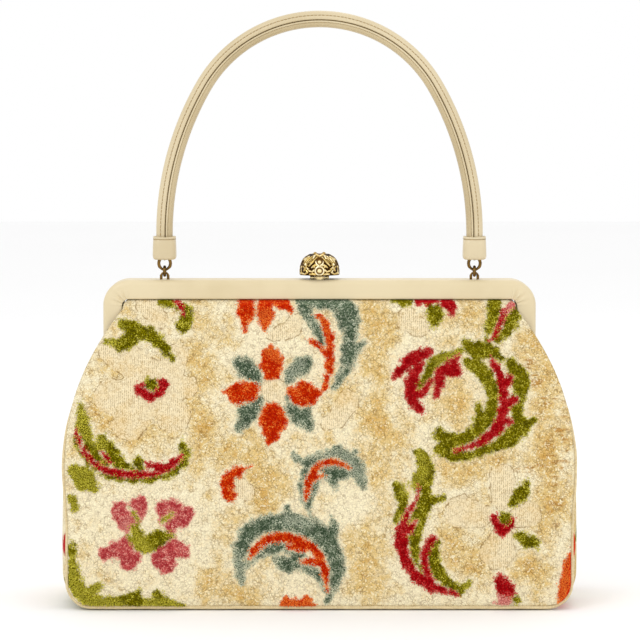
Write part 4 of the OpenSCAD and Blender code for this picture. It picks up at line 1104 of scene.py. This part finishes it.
# The back of the roll wears the darker copy of the leather as painted shade.
halves = [dress(handle_loft("roll_bead", bead), HANDLE), dress(handle_loft("roll_back", roll), ROLL_PAINTED_SHADE)]
halves.append(dress(handle_loft("edge_paint_and_groove_shade", edge_paint_and_shade_line), EDGE))
place(join("handle_roll_leather", halves), "handle", None, "leather", "handle_roll")

# %% [markdown]
# A saddle stitch runs along the strap's groove, on both of its faces. Stitches lean one way and the other in
# turn.


# %% Stitching
def stitches(name, pitch=2.3):
    """One stitch is a small capsule. Copies of it follow the groove on both faces of the strap."""
    bpy.ops.object.select_all(action="DESELECT")
    bpy.ops.mesh.primitive_uv_sphere_add(segments=8, ring_count=6, radius=1)
    one = bpy.context.object
    shape = points_of(one) * np.array([0.30, 0.22, 0.86])
    shape[:, 2] += np.sign(shape[:, 2]) * 0.1
    faces = [tuple(p.vertices) for p in one.data.polygons]
    bpy.data.objects.remove(one)
    verts, polys = [], []
    for i, (x, z, a) in enumerate(handle_path(KEEPER[5] + 1.0, pitch)):
        for face in (-1, 1):
            lean = 0.16 * (1 if i % 2 else -1)
            local = shape.copy()
            local[:, 0] += lean * local[:, 2] - 2.9
            base = len(verts)
            for u, v, w in local:
                px = x + u * math.cos(a) - w * math.sin(a)
                pz = z + u * math.sin(a) + w * math.cos(a)
                verts.append((px * MM, (face * (4.74 + v) - BOW_MID) * MM, pz * MM))
            polys += [tuple(base + k for k in f) for f in faces]
    obj = from_faces(name, verts, polys)
    edit_all(obj)
    bpy.ops.mesh.normals_make_consistent(inside=False)
    bpy.ops.object.mode_set(mode="OBJECT")
    bpy.ops.object.shade_smooth()
    return obj


place(stitches("handle_stitching"), "handle", THREAD, "leather")

# %% [markdown]
# A leather sleeve, the keeper, covers each end of the handle. Its rim dips at the sides, and a fine hem runs
# under it.

# %% Keepers
SQUARE = 0.6


def keeper_ring(side, down, grow):
    """One level of a sleeve, as a rounded square a distance below its rim."""
    x0, y0, z0, x1, y1, z1 = KEEPER
    ring = []
    for a in np.linspace(0, 2 * math.pi, 73):
        c, s = math.cos(a), math.sin(a)
        px = ((x1 - x0) / 2 + grow) * math.copysign(abs(c) ** SQUARE, c)
        py = ((y1 - y0) / 2 + grow) * math.copysign(abs(s) ** SQUARE, s)
        sag = 0.7 * (1 - (px / 7.4) ** 2) * max(0.0, 1 - down / 3.0)
        ring.append((side * CHAIN_X + px, py - BOW_MID, z1 - down - sag))
    return ring


def keeper(name, side):
    """A sleeve: rounded sections stacked from the rim down, with a turned edge, a hem and a closed foot."""
    h = KEEPER[5] - KEEPER[2]
    levels = [(2.2, -1.5), (0.2, -1.3), (0.0, -0.9), (0.1, -0.5), (0.5, -0.32), (1.3, -0.3), (1.7, -0.5)]
    levels += [(2.2, -0.52), (2.6, -0.3), (h * 0.4, -0.15), (h * 0.7, -0.02), (h - 2.0, 0.0), (h - 1.2, -0.15)]
    levels += [(h - 0.5, -0.6), (h - 0.1, -1.3), (h, -2.2), (h - 0.1, -3.4), (h - 3.0, -3.4)]
    sleeve = dress(loft(name, [keeper_ring(side, down, grow) for down, grow in levels]), HANDLE)
    hem = cord_loft("hem", keeper_ring(side, 1.95, -0.42), 0.2, 6)
    return join(name, [sleeve, dress(hem, THREAD)])


for side, which in ((-1, "left"), (1, "right")):
    place(keeper(which + "_keeper_leather", side), "handle", None, "leather", which + "_keeper")

# %% [markdown]
# ## The clasp
# The clasp is cast in one piece and gilded: two slanting leaves on each side, scrolls below them, and two
# beads in round settings in front. Handling keeps the high parts bright, and near-white glints on them are
# painted highlights. The hollows are dark with patina, deepened there as painted shade. The
# relief is drawn as strokes on the dome's front (millimetres from the middle, millimetres above the rim,
# width, height), mirrored to the other half and to the back, and the dome's skin is raised under each stroke.

# %% Relief of the clasp
DOME_R, DOME_H, DOME_Y, RIM_Z = 12.1, 13.2, -0.9, 202.6
SIDE_BEND, AROUND, UP = 1.2, 301, 86
RELIEF = [
    ([(-2.9, 12.2, 1.2), (-4.7, 10.7, 2.4), (-6.7, 8.9, 2.9), (-8.9, 6.6, 1.4)], 1.0),
    ([(-1.5, 11.4, 0.9), (-3.2, 9.6, 1.3), (-5.0, 7.6, 1.3), (-6.6, 5.9, 0.9)], 0.6),
    ([(-6.4, 11.6, 1.0), (-9.0, 9.6, 1.8), (-10.6, 7.0, 1.5), (-11.4, 5.0, 0.9)], 0.7),
    ([(-11.0, 5.4, 0.9), (-11.7, 3.4, 1.9), (-11.2, 1.3, 1.8), (-9.0, 0.9, 1.4)], 0.7),
    ([(-9.0, 0.9, 1.4), (-7.4, 1.9, 1.2), (-8.2, 3.2, 1.1)], 0.7),
    ([(-8.4, 5.2, 1.0), (-6.2, 3.0, 1.7), (-4.6, 2.6, 1.8), (-3.2, 3.8, 1.6), (-3.2, 5.4, 1.0)], 0.75),
    ([(-1.0, 6.2, 1.2), (-2.4, 6.6, 1.5), (-3.8, 6.0, 1.3), (-4.9, 4.9, 0.9)], 0.65),
    ([(-6.0, 0.9, 1.3), (-4.2, 1.0, 1.6), (-2.6, 0.7, 1.3)], 0.6),
    ([(-10.0, 5.6, 0.9), (-8.9, 4.2, 1.5), (-9.6, 2.9, 1.2)], 0.55),
    ([(-7.4, 6.6, 0.9), (-8.4, 5.6, 1.0)], 0.5),
    ([(-2.2, 12.9, 1.6), (0.0, 11.9, 1.2)], 0.55),
]
CUTS = [
    [(-4.0, 11.6), (-6.2, 9.8), (-8.2, 7.6)],
    [(-4.4, 10.2), (-6.2, 8.5), (-7.8, 6.9)],
    [(-3.0, 4.8), (-4.8, 3.2), (-6.6, 3.8)],
    [(-10.9, 4.4), (-10.8, 2.2), (-9.2, 1.5)],
    [(-9.6, 9.0), (-10.8, 6.0)],
]
BEADS = [(8.4, 2.0, 0.75, 1.15), (3.0, 2.45, 0.85, 1.45)]


def dome_skin(shares):
    """Radius and height of the dome along its curve, at shares of the curve's length from rim to top."""
    z = DOME_H * np.sin(np.linspace(0, math.pi / 2, 400))
    r = DOME_R * (1 - (z / DOME_H) ** 3) ** 0.435
    run = np.concatenate([[0], np.cumsum(np.hypot(np.diff(r), np.diff(z)))])
    return np.interp(shares, run / run[-1], r), np.interp(shares, run / run[-1], z)


def relief_height(x, z):
    """How far the casting stands up at places of the dome's front."""
    x, height = -np.abs(x), np.zeros(np.shape(x))
    for stroke, rise in RELIEF:
        for (ax, az, aw), (bx, bz, bw) in zip(stroke, stroke[1:]):
            t, off = nearest(x, z, ax, az, bx, bz)
            share = off / ((aw + (bw - aw) * t) / 2)
            height = np.maximum(height, rise * np.sqrt(np.clip(1 - share**2, 0, 1)))
    for line in CUTS:
        for (ax, az), (bx, bz) in zip(line, line[1:]):
            off = nearest(x, z, ax, az, bx, bz)[1]
            height = np.minimum(height, np.maximum(0.12, height * smooth(off / 0.5)))
    for middle, ring, band, size in BEADS:
        off = np.hypot(x, z - middle)
        height = np.where(off < ring + band, 0.15, height)
        height = np.maximum(height, 0.9 * np.sqrt(np.clip(1 - ((off - ring) / band) ** 2, 0, 1)))
    return height


# %% [markdown]
# The skin has an inner and an outer side, so it is a closed casting. The relief turns round the dome's sides
# and fades there to half its height. Beads and knops are balls set into it.


# %% Casting
def ball(centre, radius, flat, relief, material):
    bpy.ops.object.select_all(action="DESELECT")
    bpy.ops.mesh.primitive_uv_sphere_add(segments=20, ring_count=12, radius=radius * MM)
    obj = bpy.context.object
    move_points(obj, points_of(obj) * np.array([1, flat, 1]) + np.array(centre) * MM)
    bpy.ops.object.shade_smooth()
    paint(obj, "relief", np.full(len(obj.data.vertices), relief))
    return dress(obj, material)


def across(bend):
    """How far across the front a place lies, as a share of the radius. Past SIDE_BEND the relief turns back."""
    return np.where(bend < SIDE_BEND, np.sin(bend), math.sin(SIDE_BEND) - 1.5 * (bend - SIDE_BEND))


def clasp():
    around, up = np.radians(np.linspace(0, 360, AROUND)), np.linspace(0, 1, UP)
    r, z = dome_skin(up)
    bend = np.arcsin(np.clip(np.abs(np.sin(around)), 0, 1))
    front_z = z[:, None] + 0.10 * np.abs(np.cos(around)) * r[:, None] * smooth((z[:, None] - 10) / 3)
    height = relief_height(r[:, None] * across(bend), front_z) * smooth(up * 40)[:, None]
    height *= 1 - 0.5 * smooth((bend - 0.8) / 0.6)
    run = np.hypot(np.gradient(r), np.gradient(z))
    nr, nz = np.gradient(z) / run, -np.gradient(r) / run

    def skin_rows(grow, pick):
        rr = r[pick, None] + grow * nr[pick, None]
        zz = z[pick, None] + grow * nz[pick, None]
        return np.stack([rr * np.sin(around), DOME_Y - rr * np.cos(around), RIM_Z + zz], axis=-1)

    inner = skin_rows(np.full((8, AROUND), -0.35), np.linspace(UP - 1, 0, 8).astype(int))
    outer = skin_rows(height + 0.12, np.arange(UP))
    skin = loft("clasp_filigree", np.concatenate([inner, outer]))
    co = points_of(skin) / MM - np.array([0, DOME_Y, RIM_Z])
    flat = np.hypot(co[:, 0], co[:, 1])
    high = relief_height(flat * across(np.arctan2(np.abs(co[:, 0]), np.abs(co[:, 1]))), co[:, 2])
    paint(skin, "relief", np.where(co[:, 2] > 12.6, np.maximum(high, 0.3 * (flat < 4)), high))
    parts = [dress(skin, CAST)]
    for turn in (-1, 1):
        for middle, ring, band, size in BEADS:
            r_at = float(np.interp(middle, z, r))
            parts.append(ball((0, DOME_Y + turn * (r_at + 1.75), RIM_Z + middle), size, 0.8, 1.0, GILT))
        for hand in (-1, 1):
            parts.append(ball((hand * 2.7, DOME_Y + turn * 2.2, RIM_Z + DOME_H - 0.25), 1.15, 1.1, 0.38, CAST))
    return join("clasp_filigree", parts)


place(clasp(), "clasp", None, "gilt")

# %% [markdown]
# ## The lining
# A plain bag of ribbed cloth, glued into both channels of the frame. It has the CAD's shape. In the bag its
# rear wall moves with the rear bow. Here the cloth is cut into more rows near the frame, from 130 to 186 mm up.


# %% Lining
def lining():
    cut = node_copy("lining")
    for z in np.arange(130, 186, 3):
        parts = [*cut.verts, *cut.edges, *cut.faces]
        bmesh.ops.bisect_plane(cut, geom=parts, plane_co=(0, 0, z * MM), plane_no=(0, 0, 1))
    bmesh.ops.recalc_face_normals(cut, faces=cut.faces)
    return close_copy("lining_cloth", cut)


inside_bag = place_soft(lining(), LINING, "lining")

# %% [markdown]
# ## The chains
# A bent ring and a staple of soft wire, with a link between them. The wire is worn thin where one hangs in
# the other, and keeps its full thickness elsewhere. Each starts as the CAD's ring or staple, and its skin is
# moved outwards there.


# %% Chains
def full_wire(node, name, squeeze, low, high, more):
    """A copy of a wire that is thicker by up to more millimetres between two heights."""
    wire = node_copy(node)
    bmesh.ops.recalc_face_normals(wire, faces=wire.faces)
    wire.normal_update()
    middle = sum(v.co.x for v in wire.verts) / len(wire.verts)
    for v, out in [(v, v.normal.copy()) for v in wire.verts]:
        z = v.co.z / MM
        v.co.x = middle + (v.co.x - middle) * squeeze
        v.co += out * (more * MM * float(smooth((z - low) / 1.4) * smooth((high - z) / 1.0)))
    obj = only(close_copy(name, wire))
    bpy.ops.object.shade_smooth()
    return obj


for which in ("left", "right"):
    ring = full_wire(which + "_ring", which + "_ring_wire", 0.88, 206.3, 217, 0.38)
    place(ring, "handle", BRASS, "gilt", which + "_ring")
    staple = full_wire(which + "_staple", which + "_staple_wire", 1.0, 200.2, 203.4, 0.3)
    place(staple, "bag", BRASS, "gilt", which + "_staple")

# %% [markdown]
# ## Pieces that stay as the CAD made them
# Links, rivets, pins and the steel bows are turned, bent or pressed metal, and their CAD solids are already
# their final shape. The boards are inside. Each gets its own material.

# %% Carried-over nodes
for name in ("left_link", "right_link"):
    dress(NODES[name], BRASS)
for name in ("clasp_plate", "clasp_pin", "clasp_catch"):
    dress(NODES[name], GILT)
# The dome's dark colour is patina with painted shade, as in the filigree's hollows.
dress(NODES["clasp_dome"], BRONZE)
# The dark steel stands for shade where the bows show between leather and cloth.
for name in ("front_bow", "rear_bow", "left_hinge_rivet", "right_hinge_rivet", "handle_core"):
    dress(NODES[name], STEEL_DARK_AS_SHADE)
for name in ("front_board", "rear_board", "base_board"):
    dress(NODES[name], BOARD)
print("carried-over nodes dressed")

# %% [markdown]
# ## Studio
# A pale flat floor under a plain white world, one large soft light from the upper left, a fill from the
# right, weaker ones behind and above, and a camera far off with a long lens, a little above the middle of the
# bag, as in the photograph.


# %% Floor, lights and camera
def studio():
    bpy.ops.object.select_all(action="DESELECT")
    bpy.ops.mesh.primitive_plane_add(size=12)
    floor = bpy.context.object
    floor.name = floor.data.name = "studio_floor"
    s = Shader("studio_white")
    dress(floor, s.finish(s.mix((0.97, 0.97, 0.97, 1), (0.95, 0.95, 0.95, 1), s.noise(1.5)), 0.9))

    world = bpy.data.worlds.new("studio")
    bpy.context.scene.world = world
    world.use_nodes = True
    world.node_tree.nodes["Background"].inputs[0].default_value = (1, 1, 1, 1)
    world.node_tree.nodes["Background"].inputs[1].default_value = 1.0

    def soft_light(name, place, size, watts, aim=(0, 0, 0.17)):
        data = bpy.data.lights.new(name, "AREA")
        data.shape, data.size, data.energy = "DISK", size, watts
        obj = add_piece(name, data)
        obj.location = place
        obj.rotation_euler = (Vector(aim) - Vector(place)).to_track_quat("-Z", "Y").to_euler()

    soft_light("key", (-0.9, -1.5, 1.5), 0.9, 7)
    soft_light("fill", (1.2, -1.4, 0.8), 1.2, 3)
    soft_light("back", (0.2, 1.2, 1.6), 1.0, 2)
    soft_light("top", (0, 0.3, 3.0), 2.5, 5, (0, 0.3, 0))

    data = bpy.data.cameras.new("camera")
    data.sensor_width, data.lens = 36.0, 180.7
    camera = add_piece("camera", data)
    target, lift = Vector((0.0003, 0, 0.1743)), math.radians(4)
    camera.location = target + Vector((0, -2 * math.cos(lift), 2 * math.sin(lift)))
    camera.rotation_euler = (target - camera.location).to_track_quat("-Z", "Y").to_euler()
    bpy.context.scene.camera = camera
    bpy.context.scene.view_settings.view_transform = "Standard"


studio()
print("studio lit")
